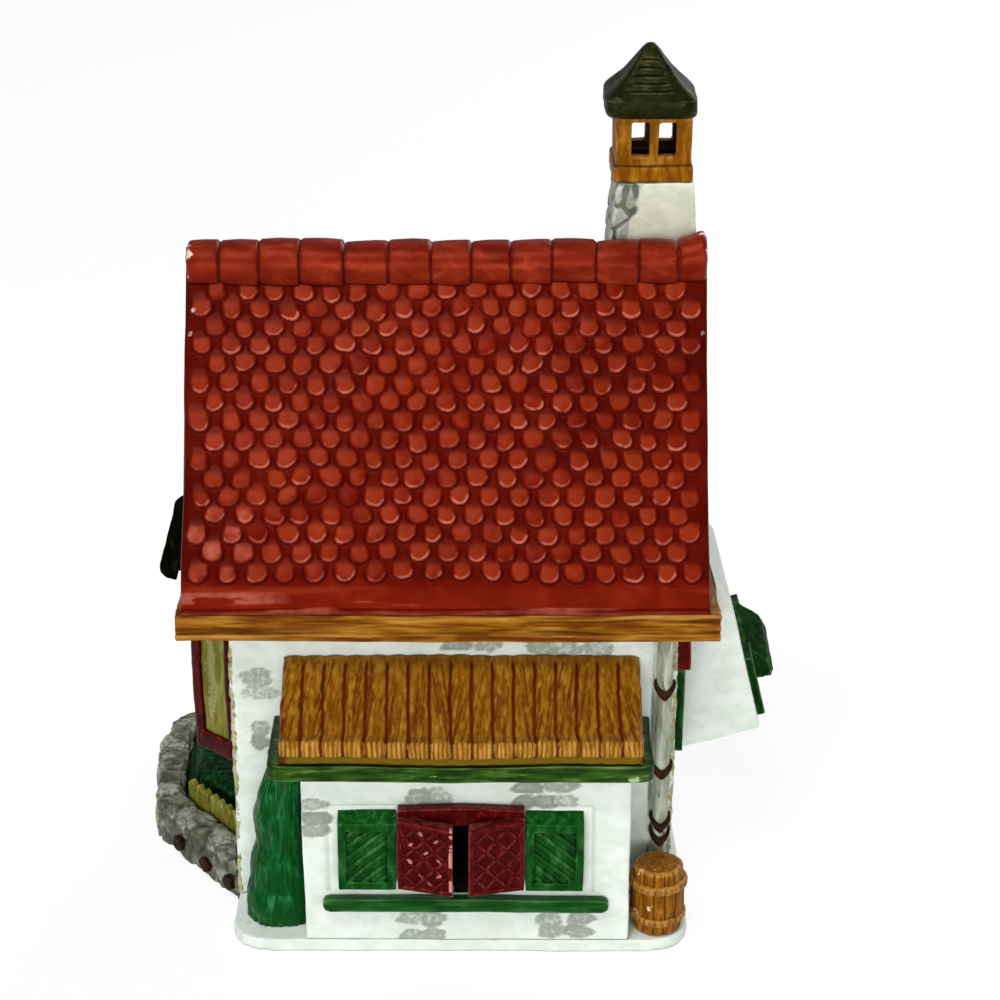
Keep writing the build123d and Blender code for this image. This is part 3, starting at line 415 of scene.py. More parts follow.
def glaze(name, base, shade, light, deep, wear_and_highlight, stretch=(1, 1, 1), brush=2.2, deep_share=0.9, wear_and_highlight_share=0.6,
          extra=None, extra_low=0.45, extra_high=0.6, rough=(0.3, 0.5), coat=0.02, bump=0.05, speck=0.5,
          stroke=None, moss=None, opening_shade=None, lift=None, gloss=0.22, contact_shade=0.75):
    """Brushed glaze: streaks of a darker and a lighter tone, darker in the hollows (pooled glaze and painted
    shade), paler on the edges (thin glaze and painted highlights), with kiln specks.

    extra is the colour of the piece's own mask and stroke its darkest strokes; beyond them comes the black of
    painted shade in openings. lift is a lighter tone (on the roof, the painted lit faces of the tiles) and
    moss two colours on the fourth layer of the paint. brush is in mm.
    """
    g = Glaze(name)
    streak = g.noise(brush, stretch, 4.0, 0.6, 0.4)
    cloud = g.noise(14.0, (1, 1, 1), 3.0)
    grain = g.noise(0.5, (1, 1, 1), 3.0)
    colour = g.mix(g.ramp(streak, 0.38, 0.56), tone(*shade), tone(*base))
    colour = g.mix(g.times(g.ramp(streak, 0.53, 0.7), 0.85), colour, tone(*light))
    colour = g.mix(g.ramp(cloud, 0.48, 0.75, 0.0, 0.4), colour, tone(*shade))
    if extra:
        fuzz = g.times(g.ramp(streak, 0.3, 0.7, 0.4, 0.6), g.ramp(g.noise(0.9), 0.3, 0.7, 1.4, 2.6))
        ragged = g.times(g.extra, fuzz)
        daubed = g.mix(g.ramp(g.extra, 0.5, 0.85), tone(*extra), tone(*stroke)) if stroke else tone(*extra)
        colour = g.mix(g.ramp(ragged, extra_low, extra_high), colour, daubed)
    if lift:
        colour = g.mix(g.ramp(g.moss, 0.1, 0.9, 0.0, 0.8), colour, tone(*lift))
    if moss:
        crust = g.add(g.moss, g.ramp(g.noise(1.2, (1, 1, 1.6), 3.0), 0.3, 0.7, -0.3, 0.3))
        growth = g.mix(g.ramp(g.noise(0.9, (1, 1, 1), 3.0), 0.4, 0.62), tone(*moss[0]), tone(*moss[1]))
        colour = g.mix(g.ramp(crust, 0.4, 0.6), colour, growth)
    # Darker in the hollows: glaze pooled there, and painted shade in creases and gaps
    pooling_and_shade = g.times(g.ramp(g.hollow, 0.05, 0.75), g.ramp(cloud, 0.2, 0.6, 0.75 * deep_share, deep_share))
    colour = g.mix(pooling_and_shade, colour, tone(*deep))
    # Painted shade, from ambient occlusion, in corners and where pieces meet
    colour = g.mix(g.times(g.contact_shade(CONTACT_SHADE_REACH), contact_shade), colour, tone(*deep))
    # Paler edges: glaze worn thin there, and painted highlights where the edge layer holds them
    thin = g.times(g.ramp(g.edge, 0.15, 0.8), g.ramp(streak, 0.35, 0.6, 0.25 * wear_and_highlight_share, wear_and_highlight_share))
    colour = g.mix(thin, colour, tone(*wear_and_highlight))
    dust = g.times(g.ramp(g.spots(3.1), 0.07, 0.03), g.ramp(g.noise(5.0), 0.5, 0.62))
    colour = g.mix(g.times(dust, speck), colour, tone(*deep))
    # Black painted shade in doorways and openings, without gloss
    if opening_shade:
        colour = g.mix(g.ramp(g.extra, 0.93, 0.98), colour, tone(*opening_shade))
        gloss = g.ramp(g.extra, 0.9, 0.95, gloss, 0.0)
    patchy = g.add(g.ramp(grain, 0.3, 0.7, 0.0, 0.4), g.ramp(cloud, 0.3, 0.7, 0.0, 0.6))
    satin = g.ramp(patchy, 0.0, 1.0, *rough)
    return g.finish(colour, satin, ((streak, bump), (grain, bump * 0.3)), coat, sheen(*light), gloss)


ALONG_X = (7, 1, 1)
UPRIGHT = (1, 1, 6)
ROUND = (1.6, 1.6, 1)
WHITE = dict(
    base=(231, 240, 230), shade=(221, 231, 220), light=(238, 244, 237), deep=(124, 126, 108),
    wear_and_highlight=(240, 243, 238), extra=(160, 169, 155), stroke=(112, 120, 106), extra_low=0.1, extra_high=0.58,
    opening_shade=(14, 12, 10), moss=((172, 160, 66), (98, 90, 30)), stretch=ROUND, brush=3.2, deep_share=0.75,
    wear_and_highlight_share=0.35, bump=0.035, speck=0.35, contact_shade=0.6)
GREEN = dict(
    base=(14, 74, 19), shade=(2, 50, 5), light=(48, 108, 50), deep=(0, 20, 2), wear_and_highlight=(104, 150, 96),
    extra=(150, 176, 132), stretch=(1, 1, 2.5), brush=1.6, wear_and_highlight_share=0.5)
RAIL = dict(GREEN, base=(28, 82, 30), shade=(8, 56, 10), light=(62, 114, 60), stretch=ALONG_X, brush=1.3)
BROWN = dict(
    base=(141, 88, 12), shade=(112, 60, 0), light=(172, 120, 44), deep=(46, 20, 0), wear_and_highlight=(198, 150, 78))
BOARD = dict(BROWN, base=(146, 92, 14), shade=(98, 46, 0), light=(184, 132, 56), brush=1.3, bump=0.07)
MAROON = dict(
    base=(78, 5, 3), shade=(62, 2, 1), light=(108, 30, 25), deep=(22, 0, 0), wear_and_highlight=(158, 76, 68),
    extra=(206, 138, 132), opening_shade=(8, 2, 2), stretch=(1, 1, 2), brush=1.2)
OLIVE = dict(
    base=(26, 27, 6), shade=(14, 14, 0), light=(66, 68, 35), deep=(3, 3, 0), wear_and_highlight=(104, 105, 70), brush=1.6)

white = glaze("white_glaze", **WHITE)
base_white = glaze("base_glaze", **dict(WHITE, extra=(204, 200, 180), stroke=None, moss=None))
stack_white = glaze("stack_glaze", **dict(
    WHITE, base=(212, 214, 194), shade=(200, 203, 181), light=(222, 223, 206),
    extra=(160, 162, 151), stroke=(82, 84, 74)))
# Tile red: lift is the painted lit face of each tile, the edge colour its painted rim highlight
red = glaze(
    "red_glaze", base=(110, 20, 5), shade=(95, 11, 2), light=(126, 34, 13), deep=(58, 2, 0),
    wear_and_highlight=(190, 104, 86), extra=(232, 220, 210), extra_low=0.5, extra_high=0.58, lift=(141, 47, 21),
    stretch=(1.5, 1.5, 1.5), brush=5.0, wear_and_highlight_share=1.0, bump=0.04, rough=(0.26, 0.46))
ridge_red = glaze(
    "ridge_red_glaze", base=(118, 28, 9), shade=(96, 14, 2), light=(148, 52, 30), deep=(48, 3, 0),
    wear_and_highlight=(184, 88, 64), extra=(226, 200, 186), extra_low=0.5, extra_high=0.58,
    stretch=(2.2, 1.3, 1.3), brush=3.0, wear_and_highlight_share=0.5, bump=0.015, rough=(0.34, 0.48), gloss=0.55)
board_x = glaze("golden_board_glaze", stretch=(12, 1, 1), **BOARD)
board_y = glaze("golden_side_board_glaze", stretch=(1, 12, 1), **BOARD)
straw = glaze(
    "thatch_glaze", base=(150, 101, 22), shade=(124, 74, 4), light=(176, 126, 46), deep=(84, 22, 3),
    wear_and_highlight=(204, 158, 80), extra=(110, 86, 14), extra_low=0.4, extra_high=0.55,
    stretch=(1, 3, 4), brush=0.9, deep_share=0.95, wear_and_highlight_share=0.75)
vent_brown = glaze("vent_glaze", stretch=(1, 1, 3), brush=1.8, extra=(22, 15, 7), **BROWN)
barrel_brown = glaze("barrel_glaze", stretch=UPRIGHT, brush=0.9, extra=(222, 196, 150), **BROWN)
olive = glaze("olive_glaze", stretch=ROUND, wear_and_highlight_share=0.8, gloss=0.12, **OLIVE)
hood_olive = glaze("hood_glaze", stretch=(3, 3, 1), gloss=0.0, coat=0.0, **dict(
    OLIVE, base=(13, 13, 5), shade=(7, 7, 1), light=(28, 29, 17), deep=(2, 2, 0), wear_and_highlight=(50, 52, 38)))
gutter_green = glaze("gutter_glaze", **dict(
    RAIL, base=(42, 80, 18), shade=(4, 40, 0), light=(110, 132, 66), extra=(164, 188, 132)))
green_x = glaze("green_rail_glaze", **RAIL)
green = glaze("green_glaze", **GREEN)
# Darker copy of the green glaze: painted shade for the oriel hood and shutters and the side shutters
shaded_green = glaze("dark_green_glaze", gloss=0.12, **dict(
    GREEN, base=(8, 52, 12), shade=(1, 30, 3), light=(30, 76, 32)))
tree_green = glaze(
    "tree_glaze", base=(9, 78, 30), shade=(2, 58, 14), light=(44, 114, 62), deep=(0, 22, 5),
    wear_and_highlight=(90, 148, 102), stretch=(1, 1, 5), brush=1.2, wear_and_highlight_share=0.45, bump=0.06, rough=(0.2, 0.36))
hedge_green = glaze(
    "hedge_glaze", base=(6, 50, 18), shade=(1, 34, 8), light=(24, 78, 36), deep=(0, 10, 2), wear_and_highlight=(50, 98, 56),
    brush=1.4, deep_share=0.95, wear_and_highlight_share=0.4, bump=0.06, gloss=0.14)
maroon = glaze("maroon_glaze", **MAROON)
frame_maroon = glaze("frame_maroon_glaze", **dict(MAROON, extra=None))
# Darker copy of the maroon glaze: painted shade for the canted bay frame
shaded_maroon = glaze("dark_maroon_glaze", gloss=0.12, **dict(
    MAROON, base=(62, 5, 4), shade=(44, 1, 1), light=(88, 20, 17), wear_and_highlight=(112, 40, 35)))
yellow = glaze(
    "yellow_glaze", base=(126, 122, 44), shade=(98, 95, 22), light=(152, 148, 78), deep=(36, 34, 5),
    wear_and_highlight=(184, 180, 116), extra=(146, 143, 92), stretch=UPRIGHT, brush=1.4, wear_and_highlight_share=0.5)
stone = glaze(
    "stone_glaze", base=(100, 102, 86), shade=(70, 72, 55), light=(136, 138, 124), deep=(16, 16, 8),
    wear_and_highlight=(204, 206, 196), extra=(158, 160, 148), extra_low=0.5, extra_high=0.95, brush=4.2, deep_share=0.95)
dark_brown = glaze(
    "dark_brown_glaze", base=(36, 20, 11), shade=(22, 11, 5), light=(52, 32, 22), deep=(8, 4, 1),
    wear_and_highlight=(58, 38, 27), brush=1.0, gloss=0.1)
pipe_grey = glaze(
    "pipe_glaze", base=(178, 185, 167), shade=(140, 145, 124), light=(208, 215, 203), deep=(40, 42, 24),
    wear_and_highlight=(222, 226, 215), extra=(104, 107, 88), stretch=UPRIGHT, brush=1.2, wear_and_highlight_share=0.4, contact_shade=0.9)


def place(piece, material, slot, *nodes):
    """Piece in its glaze, standing for its CAD nodes."""
    piece.data.materials.clear()
    piece.data.materials.append(material)
    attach(piece, "root")
    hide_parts(*nodes)
    return piece


def dress(node, material, slot, voxel, rounds, relief=None, mask=None, name=None, **more):
    """Glazed cast of one CAD node."""
    piece = cast(name or node + "_glazed", (node,), voxel, rounds, relief, mask, **more)
    return place(piece, material, slot, node)


# Roof
EAVE_Y, EAVE_Z, SLOPE = 38.0, 71.7, math.radians(60)
ROOF_LEFT, ROOF_RIGHT, SLAB = -54.8, 51.9, 3.4
RUN = EAVE_Y / math.cos(SLOPE)
APRON, COURSES, COURSE, TILES = 6.8, 16, 3.86, 18
TILE_LEFT = ROOF_LEFT + 0.6
TILE = (ROOF_RIGHT - 0.6 - TILE_LEFT) / TILES


def scales(across, up, seed):
    """Fish-scale tiles: height in mm, painted highlights on lower rims, painted lit faces varied per tile,
    painted shadow below each.
    """
    jitter = np.random.default_rng(seed).normal(size=(COURSES + 4, TILES + 4, 7))
    sag = 0.42 * noise_over(across, up)((24, 9, 1), seed, 1)
    rise = np.zeros_like(up)
    rim = np.zeros_like(up)
    shade = np.zeros_like(up)
    tile_shadows = []
    first = np.floor((up + sag - APRON) / COURSE).astype(int)
    for back in (1, 0, -1, -2):
        course = first + back
        stagger = 0.5 * (course % 2)
        middle = np.floor((across - TILE_LEFT) / TILE - stagger).astype(int)
        for beside in (-1, 0, 1):
            tile = middle + beside
            real = (course >= 0) & (course < COURSES) & (tile >= 0) & (tile < TILES - (course % 2))
            dice = jitter[np.clip(course, 0, COURSES - 1), np.clip(tile, 0, TILES - 1)]
            radius = 2.2 + 0.11 * dice[:, 2]
            away = across - (TILE_LEFT + (tile + 0.5 + stagger) * TILE + 0.26 * dice[:, 0])
            lift = up + sag - (APRON + course * COURSE + 0.2 * dice[:, 1])
            away = away + 0.09 * dice[:, 3] * (lift - radius)
            low = lift - radius
            turn = np.arctan2(low, away)
            uneven = 0.035 * np.sin(2 * turn + 3 * dice[:, 4]) + 0.03 * np.sin(3 * turn + 3 * dice[:, 5])
            edge = radius * (1 + uneven)
            inside = edge - np.hypot(away, np.where(low > 0, 0.42 * low, low))
            fall = np.clip(1 - lift / 5.2, 0, 1)
            brink = (0.84 + 0.11 * dice[:, 6]) * fall * real
            body = brink * ease(inside, -0.1, 0.36) + 0.16 * fall * real * np.clip(inside / radius, 0, 1)
            on_top = body > rise
            # Painted highlight on the lower rim, strongest on the side where the light falls
            lit = ease((0.2 * away - 0.95 * low) / radius, -0.35, 0.6)
            bright = ease(inside, 0.14, 0.34) * fade(inside, 0.5, 1.0) * lit
            rim = np.where(on_top, bright * np.clip(0.62 + 0.2 * dice[:, 5], 0.2, 1), rim)
            # Lighter painted lit face on the lower disc of each tile, its strength varied per tile
            face = ease(inside, 0.2, 0.7) * fade(low / radius, 0.45, 1.2)
            shade = np.where(on_top, face * np.clip(0.72 + 0.22 * dice[:, 4], 0.15, 1), shade)
            # Painted shadow just below each tile's rim
            tile_shadows.append((brink, line(inside + 0.16, 0.3) * ease(-low / radius, -1.0, 0.1)))
            rise = np.maximum(rise, body)
    # Painted shadow only where the tile that casts it shows
    tile_shadow = np.zeros_like(up)
    for brink, dark in tile_shadows:
        tile_shadow = np.maximum(tile_shadow, dark * (brink > rise - 0.12) * ease(brink, 0.15, 0.5))
    return rise, rim, shade, tile_shadow


def blur(table, cells):
    """Mean over a square window of a grid."""
    padded = np.pad(table, cells, mode="edge")
    for axis in (0, 1):
        total = np.cumsum(padded, axis=axis)
        zero = np.zeros_like(np.take(total, [0], axis=axis))
        total = np.concatenate([zero, total], axis=axis)
        size = 2 * cells + 1
        upper = np.take(total, range(size, total.shape[axis]), axis=axis)
        lower = np.take(total, range(0, total.shape[axis] - size), axis=axis)
        padded = (upper - lower) / size
    return padded


def roof_slope(name, side, seed, chips):
    """Tiled slope: side is -1 for the front. chips are (across, up, size) where the glaze is off."""
    step = 0.3
    columns = np.arange(ROOF_LEFT + 0.9, ROOF_RIGHT - 0.9 + step / 2, step)
    round_off = [(0.0, SLAB), (0.0, 0.9), (0.12, 0.42), (0.45, 0.1)]
    gaps, falls = zip(*round_off)
    xs = [ROOF_LEFT + gap for gap in gaps] + list(columns) + [ROOF_RIGHT - gap for gap in gaps[::-1]]
    drops = list(falls) + [0.0] * len(columns) + list(falls[::-1])
    ups = np.arange(1.3, RUN, 0.29)
    sin, cos, cot = math.sin(SLOPE), math.cos(SLOPE), 1 / math.tan(SLOPE)
    soffit = EAVE_Y - SLAB / sin
    rows = [(soffit, EAVE_Z)]
    rows += [(EAVE_Y - inset, EAVE_Z + rise) for inset, rise in ((1.3, 0.0), (0.55, 0.12), (0.3, 0.55))]
    lip = len(rows)
    rows += [(EAVE_Y - up * cos, EAVE_Z + up * sin) for up in ups]
    rows += [(0.0, EAVE_Z + EAVE_Y / cot), (0.0, EAVE_Z + EAVE_Y / cot - SLAB / cos)]
    xs, drops = np.array(xs), np.array(drops)
    total, width = len(rows), len(xs)
    out = np.repeat(np.array(rows)[:, None, :], width, axis=1)
    height, rim, shade, tile_shadow, dip, chip = (np.zeros((total, width)) for _ in range(6))
    body = slice(lip, lip + len(ups))
    across, up = np.meshgrid(xs, ups)
    values = scales(across.ravel(), up.ravel(), seed)
    height[body], rim[body], shade[body], tile_shadow[body] = (value.reshape(across.shape) for value in values)
    height[body] = blur(height[body], 1)
    uneven = noise_over(across, up)
    patch = 0.5 + 0.5 * uneven((1.3, 1.1, 1), seed + 4)
    shade[body] *= np.clip(0.55 + 0.75 * patch, 0, 1.15)
    rim[body] *= np.clip(0.35 + 1.2 * patch, 0, 1.2)
    tile_shadow[body] *= np.clip(0.6 + 0.7 * (1 - patch), 0, 1.1)
    apron = ease(across, -60, -50) * fade(up, 4.5, 7.5)
    height[body] += 0.14 * apron * uneven((22, 3, 1), seed + 5)
    height[body] += 0.1 * uneven((6, 5, 1), seed + 6)
    height[body] *= fade(up, RUN - 4.0, RUN - 2.5)
    rounded = np.ones(total)
    rounded[:lip] = 0
    rounded[-2:] = 0
    offset = height * (drops == 0) - drops[None, :] * rounded[:, None]
    y = -out[:, :, 0] - offset * sin
    z = out[:, :, 1] + offset * cos
    points = np.stack([np.repeat(xs[None, :], total, axis=0), y, z], axis=2).reshape(-1, 3)
    points = points * np.array([1, -side, 1])
    index = np.arange(total * width).reshape(total, width)
    rest = list(index[0]) + list(index[1:-1, -1]) + list(index[-1, ::-1]) + list(index[-2:0:-1, 0])
    piece = moulded(name, points, grid_faces(total, width) + [[int(spot) for spot in rest]])
    # Painted shade on the ground between the tiles, and darker patches at random
    ground = fade(height[body], 0.12, 0.5) * ease(up, 6.0, 8.0) * fade(up, RUN - 6, RUN - 3)
    dip[body] = np.maximum(0.42 * ground, 0.34 * np.clip((blur(height[body], 4) - height[body]) / 0.3, 0, 1))
    dip[body] += 0.22 * ease(uneven((26, 18, 1), seed + 8), -0.2, 0.7)
    # Streaks on the apron: a lighter tone, and painted highlights near its lower edge
    streaks = ease(uneven((16, 1.3, 1), seed + 7, 3), 0.05, 0.45)
    shade[body] = np.maximum(shade[body], (0.3 + 0.3 * streaks) * fade(up, 5.6, 6.6))
    edge = np.clip(rim, 0, 1)
    # Tiles paler toward the lower left
    paler_lower_left = ease(-36.0 - across + 7 * uneven(7.0, seed + 3), 0.0, 8.0) * fade(up, 16.0, 30.0)
    smear = ease(uneven((7, 1.6, 1), seed + 2, 3), -0.25, 0.15) * ease(-30.0 - across, 0.0, 6.0)
    # Painted highlights in streaks and a smear along the apron, and the paler lower left tiles
    for bright in (
        0.45 * streaks * fade(up, 3.4, 5.0),
        0.55 * paler_lower_left * shade[body] * ease(up, 6.0, 8.0),
        0.5 * smear * ease(up, 2.0, 2.8) * fade(up, 4.6, 5.6),
    ):
        edge[body] = np.maximum(edge[body], bright)
    edge[:lip] = 0.35
    hollow = np.maximum(dip, 0.84 * tile_shadow)
    # A dark painted line of shade along the foot of the slope, above the eave board
    hollow[lip:lip + 2] = 0.6
    ragged = 0.4 * uneven(0.9, seed + 9)
    for at, level, size in chips:
        reach = np.hypot(across - at, up - level) / size
        chip[body] = np.maximum(chip[body], 1 - reach + ragged * (reach < 1.2))
    paint(piece, hollow.ravel(), edge.ravel(), chip.ravel(), shade.ravel())
    return piece


FRONT_CHIPS = ((-53.6, 70.4, 1.5), (-53.3, 62.6, 1.3), (-53.4, 57.8, 0.9), (51.0, 58.0, 0.9))
BACK_CHIPS = ((50.9, 40.0, 1.0),)
place(roof_slope("front_roof", -1, 11, FRONT_CHIPS), red, "red_glaze", "roof_front_slope")
place(roof_slope("back_roof", 1, 23, BACK_CHIPS), red, "red_glaze", "roof_back_slope")

# Ridge: thirteen half-round tiles, each a little different, with the right end kicked up.
JOINTS = (-54.6, -48.0, -39.7, -31.1, -22.1, -13.3, -4.8, 3.5, 11.8, 20.4, 29.5, 38.1, 45.9, 51.7)
RIDGE_RADIUS, RIDGE_AXIS, RIDGE_PEAK = 4.87, 134.13, 137.52
RIDGE_CHIPS = (
    ((-54.5, -3.4, 136.8), 1.9), ((-54.5, -2.0, 138.6), 1.6), ((-54.3, -4.7, 132.6), 1.5),
    ((51.6, -0.6, 140.2), 1.8), ((51.6, -3.4, 137.4), 2.0),
)


def ridge():
    """Row of ridge tiles: each laps the next, with a groove between them and chips at both ends."""
    dice = np.random.default_rng(5).normal(size=(len(JOINTS), 4))
    joints = np.array(JOINTS)
    xs = np.linspace(JOINTS[0], JOINTS[-1], 330)
    degrees = np.linspace(-127, 127, 62)
    turns = np.radians(degrees)
    tile = np.minimum(np.searchsorted(joints, xs, side="right") - 1, len(JOINTS) - 2)
    own = dice[tile].T
    share = (xs - joints[tile]) / (joints[tile + 1] - joints[tile])
    gap = np.abs(xs[:, None] - joints[1:-1]).min(axis=1)
    groove = fade(gap, 0.05, 0.5)
    light = 0.3 * ease(gap, 0.3, 0.6) * fade(gap, 0.6, 1.1)
    lap = 0.34 * (share - 0.5) * (1 + 0.4 * own[0]) + 0.12 * own[1]
    radius = RIDGE_RADIUS + lap + 0.16 * np.sin(math.pi * share) - 0.36 * groove
    radius -= 0.9 * rounding(np.minimum(xs - JOINTS[0], JOINTS[-1] - xs), 0.9)
    kick = 1.7 * ease(xs, 44.5, 52.0) ** 1.5 + 0.22 * own[2] + 0.3 * own[3] * (share - 0.5)
    size = radius[:, None] + 0.35 * np.maximum(np.abs(degrees) - 100, 0) / 27
    rings = np.zeros((len(xs), len(turns) + 1, 3))
    rings[:, :, 0] = xs[:, None]
    rings[:, :-1, 1] = size * np.sin(turns)
    rings[:, :-1, 2] = RIDGE_AXIS + kick[:, None] * np.cos(turns / 2) + size * np.cos(turns)
    rings[:, -1, 2] = RIDGE_PEAK
    points = rings.reshape(-1, 3)
    away = points - np.array([0, 0, RIDGE_AXIS])
    away[:, 0] = 0
    away /= np.maximum(np.linalg.norm(away, axis=1), 1e-6)[:, None]
    skin = np.tile(np.append(np.ones(len(turns)), 0), len(xs))
    uneven = 0.1 * noise(points, (5, 4, 4), 41) + 0.025 * noise(points, 1.4, 42)
    points = points + away * (skin * uneven)[:, None]
    chip = np.zeros(len(points))
    ragged = 0.5 * noise(points, (1.0, 1.0, 1.6), 43)
    for spot, size in RIDGE_CHIPS:
        away = np.linalg.norm(points - np.array(spot), axis=1) / size
        chip = np.maximum(chip, 1 - away + ragged * (away < 1.2))
    piece = moulded("ridge_roll", points, capped_faces(*rings.shape[:2]))
    hollow, edge = (skin * np.repeat(values, rings.shape[1]) for values in (groove, light))
    paint(piece, hollow, edge, chip)
    return piece


place(ridge(), ridge_red, "red_glaze", "ridge_tiles")


# Walls
def dabs(points, spots, seed):
    """Mask of painted stones. Each spot (x, z, half width, half height) is a few brushed stones."""
    dice = np.random.default_rng(seed)
    mask = np.zeros(len(points))
    shift = 0.34 * noise(points, (2.6, 2.6, 1.2), seed, 3)
    for x, z, wide, tall in spots:
        courses = max(1, round(tall / 1.55))
        for course in range(courses):
            side = 2 * (course + 0.5) / courses - 1
            reach = wide * (1 - 0.3 * abs(side)) * dice.uniform(0.85, 1.0)
            count = max(1, round(reach / 2.7))
            for stone_count in range(count):
                middle = x + reach * (2 * (stone_count + 0.5) / count - 1) + 0.4 * dice.normal()
                level = z + tall * side + 0.2 * dice.normal()
                broad = 1.3 * reach / count * dice.uniform(0.85, 1.1)
                high = 1.25 * tall / courses * dice.uniform(0.8, 1.1)
                away = np.hypot((points[:, 0] - middle) / broad, (points[:, 2] - level) / high) + shift
                filled = dice.uniform(0.38, 0.62) + 0.26 * ease(away, 0.5, 0.85)
                mask = np.maximum(mask, fade(away, 0.6, 1.15) * filled)
    return np.clip(mask, 0, 0.88)


# Middle of the doors, corner and top of the walls, planes just inside the outer faces, and the downpipe
DOOR_X = 1.7
CORNER_X, CORNER_Y, WALL_TOP = 46.0, -31.5, 66.0
HOUSE_FRONT, HOUSE_SIDE, BAY_FRONT = -31.0, 45.0, -49.0
PIPE_X, PIPE_Y, PIPE_RADIUS = 43.4, -33.45, 1.6
HOUSE_DABS = ((-39.8, 53.0, 4.2, 3.6), (-40.4, 41.0, 2.6, 3.5), (24.0, 61.0, 8.6, 1.9), (4.0, 62.4, 6.0, 1.3))
BACK_DABS = ((-4.0, 52.0, 6.0, 2.4), (34.0, 46.0, 4.0, 3.0), (-36.0, 16.0, 5.0, 2.6))
SIDE_DABS = ((-12.0, 86.0, 6.0, 3.0), (10.0, 104.0, 5.0, 2.6), (16.0, 84.0, 4.0, 2.4), (-20, 24.0, 4.0, 2.4))
BAY_DABS = (
    (-28.0, 32.0, 3.6, 4.6), (-5.0, 36.6, 5.6, 2.3), (19.0, 37.4, 8.2, 2.9), (-6.7, 5.8, 6.3, 3.8),
    (23.0, 6.6, 7.0, 3.6),
)


def pipe_shadow(points):
    """Broken dark lines on the wall along both sides of the downpipe."""
    away = np.abs(np.abs(points[:, 0] - PIPE_X) - 2.0)
    broken = ease(noise(points, (2, 2, 6), 75), -0.5, 0.1)
    return 0.86 * fade(away, 0.15, 0.75) * broken * (points[:, 2] < WALL_TOP)


def house_mask(points, normals):
    """Painted stones on all sides, the painted shadow lines beside the pipe, and black painted shade on the
    wall behind the open doors.
    """
    front = np.maximum(dabs(points, HOUSE_DABS, 71), pipe_shadow(points))
    front = front * (normals[:, 1] < -0.5) * (points[:, 1] < HOUSE_FRONT)
    back = dabs(points, BACK_DABS, 72) * (normals[:, 1] > 0.5) * (points[:, 1] > -HOUSE_FRONT)
    side = dabs(points[:, [1, 0, 2]], SIDE_DABS, 73)
    side = side * (np.abs(normals[:, 0]) > 0.5) * (np.abs(points[:, 0]) > HOUSE_SIDE)
    # Black painted shade on the inner wall behind the open doors
    opening_shade = (points[:, 1] < -20) & (np.abs(points[:, 0] - 2.0) < 27) & (points[:, 2] < 40)
    return np.maximum.reduce([front, back, side, 1.0 * opening_shade])


wall_relief = layers((0.07, 5.0, 81), (0.05, 2.0, 82))


def corner_moss(points, normals):
    """Crust of mossy paint down the two front corners of the house."""
    away = np.hypot(CORNER_X - np.abs(points[:, 0]), points[:, 1] - CORNER_Y)
    patchy = ease(noise(points, (3, 3, 5), 83, 2), -0.55, 0.2) * np.where(points[:, 0] < 0, 1.0, 0.75)
    return fade(away, 0.3, 1.3) * patchy * (points[:, 2] < WALL_TOP)


def house_relief(points, normals):
    return wall_relief(points, normals) + 0.45 * corner_moss(points, normals) * (0.4 + noise(points, 1.3, 84))


HOUSE_WALLS = ("front_wall", "back_wall", "left_gable_wall", "right_gable_wall")
place(cast("house_walls", HOUSE_WALLS, 0.62, 4, house_relief, house_mask, moss=corner_moss),
      white, "white_glaze", *HOUSE_WALLS)


def bay_relief(points, normals):
    """Brushed wall with the faint scored rectangle round the doors and shutters."""
    x, z = points[:, 0], points[:, 2]
    left, right, top, foot, beyond = -25.6, 28.8, 34.9, 14.5, 99
    front = (normals[:, 1] < -0.7) & (points[:, 1] < BAY_FRONT)
    near = np.minimum(np.abs(x - left), np.abs(x - right)) + beyond * ((z > top - 0.1) | (z < foot))
    near = np.minimum(near, np.abs(z - top) + beyond * ((x < left) | (x > right)))
    return wall_relief(points, normals) - 0.22 * front * fade(near, 0.15, 0.6)


def bay_mask(points, normals):
    """Painted stones, and black painted shade in the doorway, round it and in the slit between the leaves."""
    x, z = np.abs(points[:, 0] - DOOR_X), points[:, 2]
    # Black painted shade in the doorway, round it and in the slit between the leaves
    opening_shade = (points[:, 1] > BAY_FRONT + 0.4) & (x < 16) & (z > 12) & (z < 38)
    opening_shade |= (x < 12) & (z > 17.6) & (z < 34.4)
    opening_shade |= (x < 1.9) & (z > 13.9) & (z < 18)
    stones = dabs(points, BAY_DABS, 74) * (normals[:, 1] < -0.5) * (points[:, 1] < BAY_FRONT)
    return np.maximum(stones, opening_shade)


BAY_WALLS = ("bay_front_wall", "bay_left_cheek", "bay_right_cheek")
place(cast("bay_walls", BAY_WALLS, 0.45, 4, bay_relief, bay_mask), white, "white_glaze", *BAY_WALLS)


def base_mask(points, normals):
    return 0.62 * ease(noise(points, 7.0, 76, 3), 0.25, 0.6) * (normals[:, 2] > 0.5)


dress("base_slab", base_white, "white_glaze", 0.55, 5, wall_relief, base_mask, "base_plate")


# Boards and chimney
VENT_X, VENT_INSIDE, CHIMNEY_Y = 41.2, 5.9, 13.6
CAP_X, CAP_FOOT, CAP_TOP = 40.4, 162.85, 176.6
grain_x = layers((0.3, (24, 1.8, 1.4), 91), (0.16, (9, 0.8, 0.7), 92))


def grain_y(points, normals):
    """The same grain along the gable ends."""
    return grain_x(points[:, [1, 0, 2]], normals)


for sides, material, grain in ((("front", "back"), board_x, grain_x), (("left", "right"), board_y, grain_y)):
    for side in sides:
        dress("eave_board_" + side, material, "golden_brown_glaze", 0.32, 3, grain, depth=0.16)


